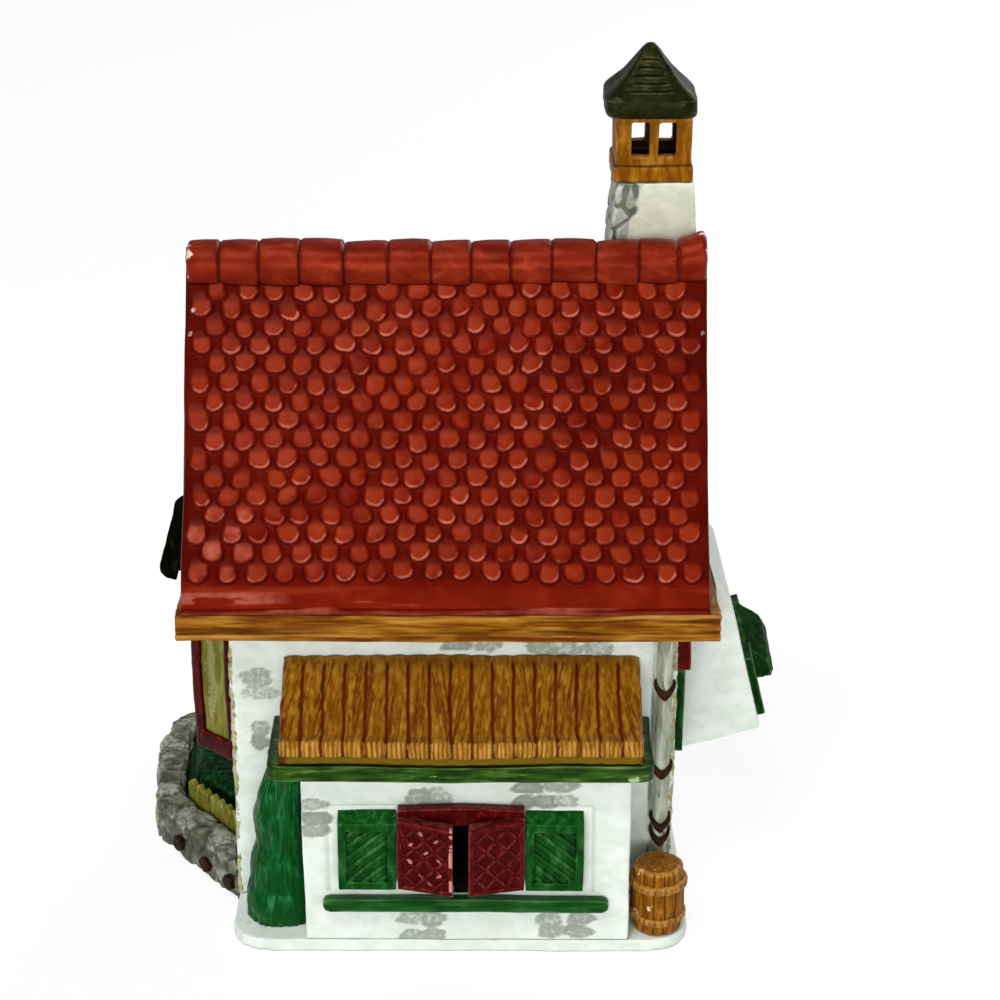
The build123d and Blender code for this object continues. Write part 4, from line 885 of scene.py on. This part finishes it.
def stack_relief(points, normals):
    near, far, _ = pebbles(points, 5.0, 14)
    stones = ease(35.5 + 0.3 * (points[:, 2] - 140) - points[:, 0], -1, 1)
    return wall_relief(points, normals) + 0.35 * stones * (ease(far - near, 0.0, 1.2) - 0.5)


def stack_mask(points, normals):
    near, far, owner = pebbles(points, 5.0, 14)
    stones = ease(36.8 + 0.2 * (points[:, 2] - 140) + 2.2 * noise(points, 4.0, 15) - points[:, 0], -0.6, 0.6)
    return stones * np.minimum(0.46 + 0.24 * owner + 0.4 * fade(far - near, 0.15, 0.8), 0.9)


dress("chimney_stack", stack_white, "white_glaze", 0.42, 4, stack_relief, stack_mask,
      depth=0.2, lean=(0.4, 0, 0))


def vent_inside_shade(points, normals):
    """Painted shade, dark, inside the vent box."""
    return 0.9 * np.all(np.abs(points[:, :2] - (VENT_X, CHIMNEY_Y)) < VENT_INSIDE, axis=1)


def vent_lines(points, normals):
    """Painted shade: dark lines above the band at the foot and under the cap."""
    level = points[:, 2] + 0.25 * noise(points, (4, 4, 1), 16)
    return 0.75 * np.maximum(line(level - 152.9, 0.3), line(level - 149.3, 0.4))


dress("chimney_vent", vent_brown, "golden_brown_glaze", 0.3, 4, layers((0.16, (2, 2, 6), 17)), vent_inside_shade,
      depth=0.22, lean=(-0.2, 0, 0), dark=vent_lines)


def cap():
    """Hipped cap: swelling fascia, hollow slopes with round hips, and grooves pressed into the front one."""
    profile = np.array([
        (0.0, CAP_FOOT), (8.2, CAP_FOOT), (8.9, 162.9), (9.2, 163.2), (9.4, 164.0), (9.4, 165.6),
        (9.3, 166.5), (8.9, 167.1), (8.2, 167.8), (7.2, 168.7), (6.1, 169.8), (5.0, 171.0),
        (4.0, 172.3), (3.0, 173.6), (2.1, 174.9), (1.3, 175.8), (0.7, 176.35), (0.0, CAP_TOP),
    ])
    legs = np.concatenate([[0], np.cumsum(np.hypot(*np.diff(profile, axis=0).T))])
    s = np.linspace(0, legs[-1], 150)
    half, level = np.interp(s, legs, profile[:, 0]), np.interp(s, legs, profile[:, 1])
    turns = np.linspace(0, 2 * math.pi, 240, endpoint=False)
    turn, row = np.meshgrid(turns, np.arange(1, len(s) - 1))
    size, z = half[row], level[row]
    power = 7.0
    reach = (np.abs(np.cos(turn)) ** power + np.abs(np.sin(turn)) ** power) ** (-1 / power)
    x, y = size * reach * np.cos(turn), size * reach * np.sin(turn)
    across = np.where(np.abs(np.cos(turn)) > np.abs(np.sin(turn)), y, x)
    middle = fade(np.abs(across) / np.maximum(size, 0.5), 0.4, 0.78) * (-np.sin(turn) > np.abs(np.cos(turn)))
    middle = middle * ease(z, 167.0, 167.8) * fade(z, 173.8, 175.0)
    flat = np.stack([x, y, z], axis=2).reshape(-1, 3)
    step = (z + 0.25 * noise(flat, 6.0, 18).reshape(z.shape)) / 1.3 % 1 - 0.5
    grooves = line(step, 0.15) * middle
    push = 0.24 * noise(flat, 3.6, 19).reshape(z.shape) - 0.46 * grooves
    share = 1 + push / np.maximum(size, 1.5)
    points = np.stack([CAP_X + x * share, CHIMNEY_Y + y * share, z], axis=2).reshape(-1, 3)
    points = np.concatenate([points, [(CAP_X, CHIMNEY_Y, CAP_FOOT), (CAP_X, CHIMNEY_Y, CAP_TOP)]])
    piece = moulded("chimney_cap_glazed", points, pointed_faces(*turn.shape))
    hollow, edge = curvature(piece, 6, 0.14)
    # Painted highlights on the ribs between the grooves
    rib_highlights = 0.55 * line(step + 0.28, 0.13) * middle
    edge = np.maximum(edge, np.append(rib_highlights.ravel(), (0, 0)))
    paint(piece, np.maximum(hollow, np.append(0.9 * grooves.ravel(), (0, 0))), edge)
    return piece


place(cap(), olive, "olive_glaze", "chimney_cap")


# Thatch and gutter
THATCH_LEFT, THATCH_RIGHT, BUNDLES = -34.8, 38.2, 17
BUNDLE_PITCH = (THATCH_RIGHT - THATCH_LEFT) / BUNDLES


def thatch_section():
    """Section of the thatch: way along it, y, z, normals, and how far along its brow and front edge are."""
    path = [(CORNER_Y, 59.5), (-31.9, 59.75), (-50.2, 51.15)]
    for turn in np.radians(np.linspace(65, -2, 12)):
        path.append((-50.9 - 2.1 * math.cos(turn), 48.9 + 2.3 * math.sin(turn)))
    path += [(-52.9, 46.6), (-52.5, 45.95), (-47.0, 45.9), (CORNER_Y, 53.5)]
    path = np.array(path)
    far = np.concatenate([[0], np.cumsum(np.hypot(*np.diff(path, axis=0).T))])
    brow, front = far[2], far[-3]
    s = np.concatenate([np.linspace(0, front, 120), np.linspace(front, far[-1], 22)[1:]])
    y, z = np.interp(s, far, path[:, 0]), np.interp(s, far, path[:, 1])
    tangent = np.gradient(np.stack([y, z], axis=1), axis=0)
    normal = np.stack([-tangent[:, 1], tangent[:, 0]], axis=1)
    normal /= np.linalg.norm(normal, axis=1)[:, None]
    normal *= np.where((normal @ np.array([-0.4, 1.0]) < 0) & (s < front), -1, 1)[:, None]
    return s, y, z, normal, brow, front


def straws(across, along, brow):
    """Strokes of straw, combed one way in each bundle."""
    dice = np.random.default_rng(8)
    strokes = np.zeros_like(across)
    for bundle in range(BUNDLES):
        comb = math.radians(dice.choice([-1, 1], p=[0.3, 0.7]) * dice.uniform(4, 11))
        for _ in range(11):
            at = THATCH_LEFT + (bundle + dice.uniform(0.1, 0.9)) * BUNDLE_PITCH
            start = dice.uniform(1.2, brow - 4.0)
            lean = math.tan(comb + math.radians(2.5 * dice.normal()))
            length = dice.uniform(7.0, 16.0)
            offset = across - (at - lean * (along - start))
            on = ease(along, start, start + 1.0) * fade(along, start + length - 1.0, start + length)
            strokes = np.maximum(strokes, line(offset, 0.23) * on * dice.uniform(0.5, 1.0))
    return strokes


def thatch():
    """Straw roof of the bay: bundles parted by grooves, strokes of straw and a combed fringe in front."""
    s, y, z, normal, brow, front = thatch_section()
    across, along = np.meshgrid(np.linspace(THATCH_LEFT, THATCH_RIGHT, 310), s)
    rough = noise_over(across, along)
    share = (across + 0.3 * rough((30, 6, 1), 21) - THATCH_LEFT) / BUNDLE_PITCH
    gap = np.abs(share - np.round(share)) * BUNDLE_PITCH
    top = ease(along, 0.8, 3.0)
    face = fade(along, brow + 4.9, brow + 5.5)
    inner = (np.round(share) > 0.5) & (np.round(share) < BUNDLES - 0.5)
    groove = line(gap, 0.27) * top * face * inner
    strokes = straws(across, along, brow)
    combed = fade(along, brow + 1.4, brow + 2.3)
    fringe = ease(along, brow + 1.5, brow + 2.2) * fade(along, brow + 4.6, brow + 5.2)
    tufts = np.abs(np.sin((across + 0.55 * rough((3, 9, 1), 22)) * math.pi / 0.95))
    relief = 0.26 * (1 - (2 * gap / BUNDLE_PITCH - 1) ** 2) - 0.7 * groove - 0.34 * strokes * combed
    relief += fringe * (0.22 + 0.24 * tufts)
    relief += 0.1 * rough((1.2, 6, 1), 23) * combed
    relief += 0.12 * rough((9, 4, 1), 24)
    skin = fade(along, front - 0.3, front + 0.3) * ease(along, 0.0, 0.6)
    relief *= skin
    relief -= 0.8 * rounding(np.minimum(across - THATCH_LEFT, THATCH_RIGHT - across), 1.0) * skin
    wide = across + (across - (THATCH_LEFT + THATCH_RIGHT) / 2) / 36 * 0.35 * rough((50, 1.6, 1), 25)
    out = (y[:, None] + normal[:, :1] * relief, z[:, None] + normal[:, 1:] * relief)
    points = np.stack([wide, *out], axis=2).reshape(-1, 3)
    rows, columns = across.shape
    index = np.arange(rows * columns).reshape(rows, columns)
    last = (rows - 1) * columns
    faces = [tuple(reversed(corners)) for corners in grid_faces(rows, columns)]
    faces += [(spot, spot + 1, last + spot + 1, last + spot) for spot in range(columns - 1)]
    faces += [index[:, 0].tolist(), index[:, -1].tolist()]
    piece = moulded("bay_thatch_glazed", points, faces)
    band = ease(along + 0.5 * rough((7, 9, 1), 26), brow + 4.8, brow + 5.3)
    rough_end = fade(across - THATCH_LEFT, 0.6, 2.2) * ease(rough((1.5, 3, 1), 27), -0.4, 0.3)
    hollow = np.maximum.reduce([
        groove * 1.2, 0.7 * strokes * combed, 0.75 * rough_end, 0.55 * fringe * fade(tufts, 0.1, 0.5),
    ])
    light = 0.62 * fringe * ease(tufts, 0.3, 0.8) + 0.25 * (1 - top)
    light += 0.3 * ease(along, brow - 1.0, brow + 1.5) * (1 - fringe) * face * (1 - strokes)
    paint(piece, hollow.ravel(), light.ravel(), (band * skin).ravel())
    return piece


place(thatch(), straw, "golden_brown_glaze", "bay_thatch")


def gutter_end_shade(points, normals):
    """Painted shade makes the two ends of the gutter nearly black."""
    return 0.7 * ease(np.abs(points[:, 0] - DOOR_X) - 37.0, 0.0, 1.6)


def gutter_mask(points, normals):
    """White chips at the right end and one bright streak along the front."""
    chip = np.zeros(len(points))
    for spot, size in (((36.5, -53.2, 43.0), 1.6), ((39.2, -51.5, 43.4), 1.2), ((-36.4, -52.4, 43.0), 1.0)):
        chip = np.maximum(chip, 1 - np.linalg.norm((points - np.array(spot)) * (0.6, 1, 1.4), axis=1) / size)
    streak = 0.62 * ease(noise(points, (22, 4, 0.9), 27, 2), 0.2, 0.55) * (points[:, 1] < -52.6)
    return np.maximum(chip, streak)


dress("bay_gutter", gutter_green, "green_glaze", 0.34, 5, layers((0.16, (9, 5, 1.5), 28)), gutter_mask,
      depth=0.2, dark=gutter_end_shade)


# Doors, shutters and sill
daub = layers((0.07, 1.6, 31))
# Painted highlights on the lattice of the left leaf, as (across, up, lean)
LEAF_HIGHLIGHTS = (
    (2.8, 11.4, 1), (4.9, 14.4, -1), (8.1, 13.0, 1), (2.8, 7.4, -1), (6.0, 9.8, 1), (8.8, 8.2, -1),
    (4.9, 4.0, -1), (8.8, 4.5, 1), (6.7, 2.4, -1),
)


def fine_ends(length, count):
    """Steps along a length, closer together at its rounded ends."""
    end = np.array([0, 0.06, 0.17])
    return np.concatenate([end, np.linspace(0.3, length - 0.3, count), length - end[::-1]])


def leaf(name, side):
    """Door leaf moulded ajar: raised border and a lattice of small diamonds. side is -1 for the left leaf."""
    wide, tall, foot, swing = 11.65, 16.6, 17.4, math.radians(14)
    hinge_y, half_opening = -53.3, 12.9
    across, along = fine_ends(wide, 90), fine_ends(tall, 128)
    u, v = np.meshgrid(across, along)
    rough = noise_over(u, v, 7.0 * side)
    border = np.minimum(np.minimum(u, wide - u), np.minimum(v, tall - v))
    steps, rises = (wide - 2) / 2.3, (tall - 2) / 3.2
    wander = 0.2 * rough(3.0, 37)
    bars = np.zeros_like(u)
    for lean in (-1, 1):
        slant = ((u + wander - wide / 2) / steps + lean * (v + wander - tall / 2) / rises + 0.5) % 1 - 0.5
        bars = np.maximum(bars, fade(np.abs(slant) / math.hypot(1 / steps, 1 / rises), 0.14, 0.5))
    bars *= ease(border, 0.6, 1.0)
    rim = fade(border + 0.3 * wander, 0.75, 1.15)
    high = 0.42 * np.maximum(0.9 * bars, rim) + 0.05 * rough(1.6, 38) - 0.4 * rounding(border, 0.4)
    sine, cosine = math.sin(swing), math.cos(swing)
    level = foot + v * (1 - (0.5 + 0.9 * u / wide) / tall)
    front = np.stack([u * cosine - high * sine, hinge_y - u * sine - high * cosine, level], axis=2)
    reach = 11.3 * np.linspace(1, 0, 14)
    rear = np.stack([reach, -52.0 - 2.82 * np.clip((reach - 3.2) / 8.1, 0, 1)], axis=1)
    rear = np.repeat(rear[None], len(along), axis=0)
    rear = np.concatenate([rear, np.repeat(front[:, :1, 2:], len(reach), axis=1)], axis=2)
    points = np.concatenate([front, rear], axis=1)
    points[:, :, 0] = DOOR_X + side * (half_opening - points[:, :, 0])
    rows, columns = points.shape[:2]
    piece = moulded(name, points.reshape(-1, 3), capped_faces(rows, columns))
    hollow, edge = curvature(piece, 4, 0.09)
    ground = np.zeros((rows, columns))
    pink_wear_and_highlights = np.zeros((rows, columns))
    ground[:, :len(across)] = 0.35 * (1 - bars) * ease(border, 1.0, 1.4)
    # Left leaf only: pink worn paint and painted highlight along its free edge, and painted highlights on the
    # lattice
    if side < 0:
        patches = 0.85 * ease(u, wide - 0.85, wide - 0.55) * ease(rough((9, 0.8, 1), 39), -0.35, 0.15)
        for at, height, lean in LEAF_HIGHLIGHTS:
            a, b = u - at + 0.3 * wander, v - height
            spot = np.hypot((a + lean * b) / 1.5, (a - lean * b) / 0.62)
            patches = np.maximum(patches, 0.8 * fade(spot, 0.4, 1.0))
        pink_wear_and_highlights[:, :len(across)] = patches
    paint(piece, np.maximum(hollow, ground.ravel()), edge, pink_wear_and_highlights.ravel())
    return piece


def doorway(points, normals):
    """Black painted shade in the slit between the two leaves."""
    return 1.0 * (np.abs(points[:, 0] - DOOR_X) < 2.1) * (points[:, 2] < 31.6)


dress("door_frame", frame_maroon, "maroon_glaze", 0.26, 3, daub, doorway, depth=0.16)
place(leaf("left_door_leaf_glazed", -1), maroon, "maroon_glaze", "left_door_leaf")
place(leaf("right_door_leaf_glazed", 1), maroon, "maroon_glaze", "right_door_leaf")
dress("left_shutter", green, "green_glaze", 0.17, 4, daub, depth=0.12)
dress("right_shutter", green, "green_glaze", 0.17, 4, daub, depth=0.12)
dress("door_sill", green_x, "green_glaze", 0.26, 5, layers((0.12, (6, 2, 1.2), 36)), depth=0.16)


# Tree, barrel and downpipe
TREE_LEVELS = (2.8, 6.5, 10, 15, 19.9, 23.5, 27, 31.8, 34.2, 37, 42.1)
TREE_RADII = (7.4, 7.7, 7.0, 6.4, 5.2, 5.1, 5.3, 4.2, 3.3, 2.4, 1.7)


def tree():
    """Fluted evergreen pressed into the corner of the house and the bay."""
    x0, y0, cheek_x, wall_y = -36.2, -37.4, -30.75, -31.65
    foot, top = TREE_LEVELS[0], TREE_LEVELS[-1]
    levels = np.linspace(0, 1, 170)
    turns = np.linspace(0, 2 * math.pi, 220, endpoint=False)
    turn, level = np.meshgrid(turns, levels)
    z = foot + level * (top - foot)
    taper = np.interp(z, TREE_LEVELS, TREE_RADII)
    taper = taper + ease(np.cos(turn), 0.0, 0.5) * np.maximum(5.9 - taper, 0) * ease(40.0 - z, 0.0, 3.0)
    rough = noise_around(turn, z, 6)
    spread = 1 + 0.4 * (1 - level)
    lumps = rough((5.0, 5.0, 7.5), 51)
    tiers = np.abs(np.sin(level * math.pi * 4.2 + 0.5 * lumps + 0.4)) ** 0.7
    fronds = noise_around(turn, z * spread, 6 * spread)((1.5, 1.5, 7.0), 52)
    cuts = fade(np.abs(rough((2.0, 2.0, 11.0), 53, 1)), 0.0, 0.16)
    size = taper * (0.96 + 0.06 * tiers) + 0.5 * lumps + 0.36 * fronds - 0.2 * cuts
    size = np.maximum(size, 0.6) * ease(1.03 - level, 0.0, 0.07)
    size += 0.35 * np.abs(np.sin(turn * 15)) * fade(level, 0.0, 0.03)
    x = np.minimum(x0 + size * np.cos(turn), cheek_x)
    y = np.minimum(y0 + size * np.sin(turn), wall_y)
    points = np.stack([x, y, z], axis=2).reshape(-1, 3)
    piece = moulded("evergreen_tree_carved", points, capped_faces(*turn.shape))
    hollow, edge = curvature(piece, 6, 0.34)
    paint(piece, np.maximum(hollow, 0.25 * cuts.ravel()), edge)
    return piece


place(tree(), tree_green, "green_glaze", "evergreen_tree")


def lathe(name, x0, y0, profile, around, relief):
    """Turned piece: profile is (radius, z) from the axis at the foot to the axis at the top."""
    turns = np.linspace(0, 2 * math.pi, around, endpoint=False)
    profile = np.array(profile)
    turn, row = np.meshgrid(turns, np.arange(1, len(profile) - 1))
    radius = profile[row, 0]
    z = profile[row, 1]
    radius = radius + relief(turn, z, radius)
    points = np.stack([x0 + radius * np.cos(turn), y0 + radius * np.sin(turn), z], axis=2).reshape(-1, 3)
    points = np.concatenate([points, [(x0, y0, profile[0, 1]), (x0, y0, profile[-1, 1])]])
    return moulded(name, points, pointed_faces(*turn.shape))


FOOT = 2.85
BARREL_X, BARREL_Y = 42.9, -43.1
STAVE_FOOT, STAVE_RISE = 3.1, 14.0


def stave_radius(z):
    """Radius of the bellied barrel at a height."""
    return 5.0 + 0.65 * math.sin(math.pi * (z - STAVE_FOOT) / STAVE_RISE)


def staves(turn, z, radius):
    """Grooves between fourteen staves, and their grain."""
    groove = line((turn * 14 / (2 * math.pi) + 0.5) % 1 - 0.5, 0.07)
    return ease(radius, 4.0, 4.6) * (-0.3 * groove + 0.22 * noise_around(turn, z, 5)((1.6, 1.6, 2.2), 61))


barrel_profile = [(0, FOOT), (4.4, FOOT), (4.8, 2.95)]
barrel_profile += [(stave_radius(z), z) for z in np.linspace(STAVE_FOOT, STAVE_FOOT + STAVE_RISE, 64)]
barrel_profile += [(4.85, 17.5), (4.5, 17.75), (4.0, 17.8), (3.4, 17.85), (2.2, 17.95), (1.0, 18), (0, 18)]
barrel = lathe("rain_barrel_glazed", BARREL_X, BARREL_Y, barrel_profile, 168, staves)
spots = points_of(barrel)
paint(barrel, *curvature(barrel, 5, 0.16), 0.62 * ease(noise(spots, 2.4, 62), 0.36, 0.5) * (spots[:, 0] < 42))
place(barrel, barrel_brown, "golden_brown_glaze", "rain_barrel")


def bands(name, points, faces, size, seed, uneven, depth):
    """Painted piece of thin bands with a little unevenness."""
    points = np.array(points)
    piece = moulded(name, points + uneven * wobble(points, size, seed), faces)
    paint(piece, *curvature(piece, 3, depth))
    return piece


def hoops():
    """Two notched bands tight on the staves."""
    points, faces = [], []
    dice = np.random.default_rng(12)
    around = 220
    for low, high in ((5.5, 7.2), (13.0, 14.9)):
        start = len(points)
        loop = [(-0.3, low), (0.35, low + 0.1), (0.62, low + 0.4), (0.66, (low + high) / 2)]
        loop += [(0.62, high - 0.4), (0.35, high - 0.1), (-0.3, high)]
        phase = dice.uniform(0, 1)
        for turn in np.linspace(0, 2 * math.pi, around, endpoint=False):
            notch = abs(math.sin(turn * 15 + phase + 0.3 * math.sin(5 * turn))) ** 0.6
            for out, z in loop:
                radius = stave_radius(z) + out * (0.55 + 0.5 * notch) + 0.1 * math.sin(3 * turn + phase)
                points.append((BARREL_X + radius * math.cos(turn), BARREL_Y + radius * math.sin(turn), z))
        width = len(loop)
        for spot in range(around):
            here, ahead = start + spot * width, start + (spot + 1) % around * width
            for side in range(width):
                beside = (side + 1) % width
                faces.append((here + side, here + beside, ahead + beside, ahead + side))
    return bands("barrel_hoops_glazed", points, faces, 1.6, 67, 0.1, 0.14)


place(hoops(), barrel_brown, "golden_brown_glaze", "barrel_hoops")


def pipe_relief(turn, z, radius):
    """Slow dents along the pipe, the same at every radius."""
    return 0.1 * noise_around(turn, z, 2)((1.5, 1.5, 5.0), 64)


pipe_profile = [(0, FOOT), (1.5, FOOT)]
pipe_profile += [(PIPE_RADIUS, z) for z in np.linspace(3.1, 65.8, 180)]
pipe_profile += [(1.5, WALL_TOP), (0, WALL_TOP)]
pipe = lathe("downpipe_glazed", PIPE_X, PIPE_Y, pipe_profile, 40, pipe_relief)
paint(pipe, *curvature(pipe, 5, 0.2), 0.62 * ease(noise(points_of(pipe), (1.2, 1.2, 9.0), 65), 0.2, 0.5))
place(pipe, pipe_grey, "white_glaze", "downpipe")


def straps():
    """Bands that dip to a point in front of the pipe, one above another."""
    points, faces, wall_y = [], [], -31.52
    section = [(math.cos(turn), math.sin(turn)) for turn in np.linspace(0, 2 * math.pi, 12, endpoint=False)]
    for level, dip in ((54.6, 2.2), (36.0, 2.0), (23.6, 2.4), (20.2, 2.4)):
        start = len(points)
        turns = np.linspace(-112, 112, 65)
        for turn in turns:
            lean = math.radians(turn)
            fall = 0.95 * dip * max(0.0, 1 - abs(turn) / 80)
            thick = 0.66 + 0.2 * math.cos(math.radians(turn * 2.2))
            for out, lift in section:
                radius = PIPE_RADIUS + 0.34 + thick * 0.75 * out
                x, y = PIPE_X + radius * math.sin(lean), PIPE_Y - radius * math.cos(lean)
                points.append((x, min(y, wall_y), level - fall + thick * 1.25 * lift))
        for face in capped_faces(len(turns), len(section)):
            faces.append([start + spot for spot in face])
    return bands("pipe_straps_glazed", points, faces, 1.2, 66, 0.06, 0.1)


place(straps(), dark_brown, "dark_brown_glaze", "pipe_straps")


# Terrace
def cobbles(points, normals):
    """Rounded stones of the kerb."""
    near, far, _ = pebbles(points, 5.2, 101)
    return 0.6 * (ease(far - near, 0.0, 2.0) - 0.72) + 0.12 * noise(points, 2.4, 102)


def cobble_mask(points, normals):
    _, _, owner = pebbles(points, 5.2, 101)
    return 0.35 + 0.5 * owner


dress("terrace_kerb", stone, "grey_glaze", 0.42, 4, cobbles, cobble_mask, "terrace_kerb_stones",
      depth=0.3, reach=5)
dress("kerb_logs", dark_brown, "dark_brown_glaze", 0.24, 4, layers((0.14, 1.0, 103)), depth=0.14)


def leaves(points, normals):
    """Clumps of leaves on the hedge."""
    near, far, _ = pebbles(points, 2.6, 104)
    return 0.4 * (ease(far - near, 0.0, 1.2) - 0.6) + 0.4 * noise(points, 3.4, 105)


dress("planting_bed", hedge_green, "green_glaze", 0.5, 4, layers((0.3, 2.6, 106)), depth=0.25)
dress("hedge", hedge_green, "green_glaze", 0.4, 4, leaves, name="hedge_carved", depth=0.3)
dress("picket_fence", yellow, "yellow_glaze", 0.24, 9, layers((0.14, (1.2, 1.2, 3.0), 107)), depth=0.16)


# Gable ends and back
soft = layers((0.12, 3.0, 111), (0.05, 1.1, 112))


def pane_mask(points, normals):
    return 0.7 * ease(noise(points, (2.0, 2.0, 9.0), 113), 0.1, 0.5)


dress("canted_bay_frame", shaded_maroon, "maroon_glaze", 0.4, 4, soft, depth=0.2)
dress("canted_bay_panes", yellow, "yellow_glaze", 0.3, 3, soft, pane_mask, depth=0.2)
dress("gable_hood", hood_olive, "olive_glaze", 0.4, 12, soft, depth=0.25)
dress("right_oriel", white, "white_glaze", 0.45, 5, wall_relief)
dress("oriel_hood", shaded_green, "green_glaze", 0.34, 9, soft, depth=0.2)
dress("oriel_shutters", shaded_green, "green_glaze", 0.26, 4, daub, depth=0.16)
dress("side_window_heads", maroon, "maroon_glaze", 0.3, 4, daub, depth=0.18)
dress("side_shutters", shaded_green, "green_glaze", 0.26, 3, daub, depth=0.16)
dress("back_window_frames", maroon, "maroon_glaze", 0.24, 4, daub, depth=0.16)
dress("back_shutters", green, "green_glaze", 0.26, 3, daub, depth=0.16)
dress("back_sills", green_x, "green_glaze", 0.28, 4, daub, depth=0.16)


# Floor, light and camera
FLOOR = 3000.0
floor_corners = np.array([(-FLOOR, -FLOOR, 0), (FLOOR, -FLOOR, 0), (FLOOR, FLOOR, 0), (-FLOOR, FLOOR, 0)])
floor = shape("studio_floor", floor_corners, [(0, 1, 2, 3)])
paper = Graph("studio_paper")
paper.feed(paper.shader, {"Base Color": (0.86, 0.86, 0.86, 1), "Roughness": 0.9})
seen = paper.node("LightPath", {})["Is Camera Ray"]
glow_share = paper.node("Math", {0: seen, 1: 0.72}, operation="MULTIPLY")[0]
glow = paper.node("Emission", {"Strength": 1.12})[0]
blend = paper.node("MixShader", {0: glow_share, 1: paper.shader.outputs[0], 2: glow})[0]
paper.feed(next(node for node in paper.tree.nodes if node.type == "OUTPUT_MATERIAL"), {"Surface": blend})
floor.data.materials.append(paper.material)

world = bpy.data.worlds.new("studio") if bpy.context.scene.world is None else bpy.context.scene.world
bpy.context.scene.world = world
world.use_nodes = True
sky = next(node for node in world.node_tree.nodes if node.type == "BACKGROUND")
sky.inputs["Color"].default_value = (1, 1, 1, 1)
sky.inputs["Strength"].default_value = 0.28


def softbox(name, spot, aim, size, power):
    light = bpy.data.lights.new(name, "AREA")
    light.shape = "RECTANGLE"
    light.size, light.size_y = size
    light.energy = power
    lamp = bpy.data.objects.new(name, light)
    bpy.context.scene.collection.objects.link(lamp)
    lamp.location = spot
    lamp.rotation_euler = (Vector(aim) - Vector(spot)).to_track_quat("-Z", "Y").to_euler()


softbox("key", (-0.3, -0.58, 1.25), (0, 0, 0.07), (0.7, 0.45), 8.4)
softbox("front", (-0.15, -1.7, 0.42), (0, 0, 0.08), (1.4, 0.5), 15.0)
softbox("back", (0.7, 0.9, 0.8), (0, 0, 0.08), (0.8, 0.8), 6.0)

LOOK_DOWN = 23
camera_data = bpy.data.cameras.new("camera")
camera_data.sensor_width = 36.0
camera_data.lens = 86.4
camera_data.shift_x = 0.045
camera_data.clip_start = 0.01
camera = bpy.data.objects.new("camera", camera_data)
bpy.context.scene.collection.objects.link(camera)
camera.location = (0.0004, -0.4733, 0.2821)
camera.rotation_euler = (math.radians(90 - LOOK_DOWN), 0, 0)
bpy.context.scene.camera = camera
bpy.context.scene.view_settings.view_transform = "Standard"
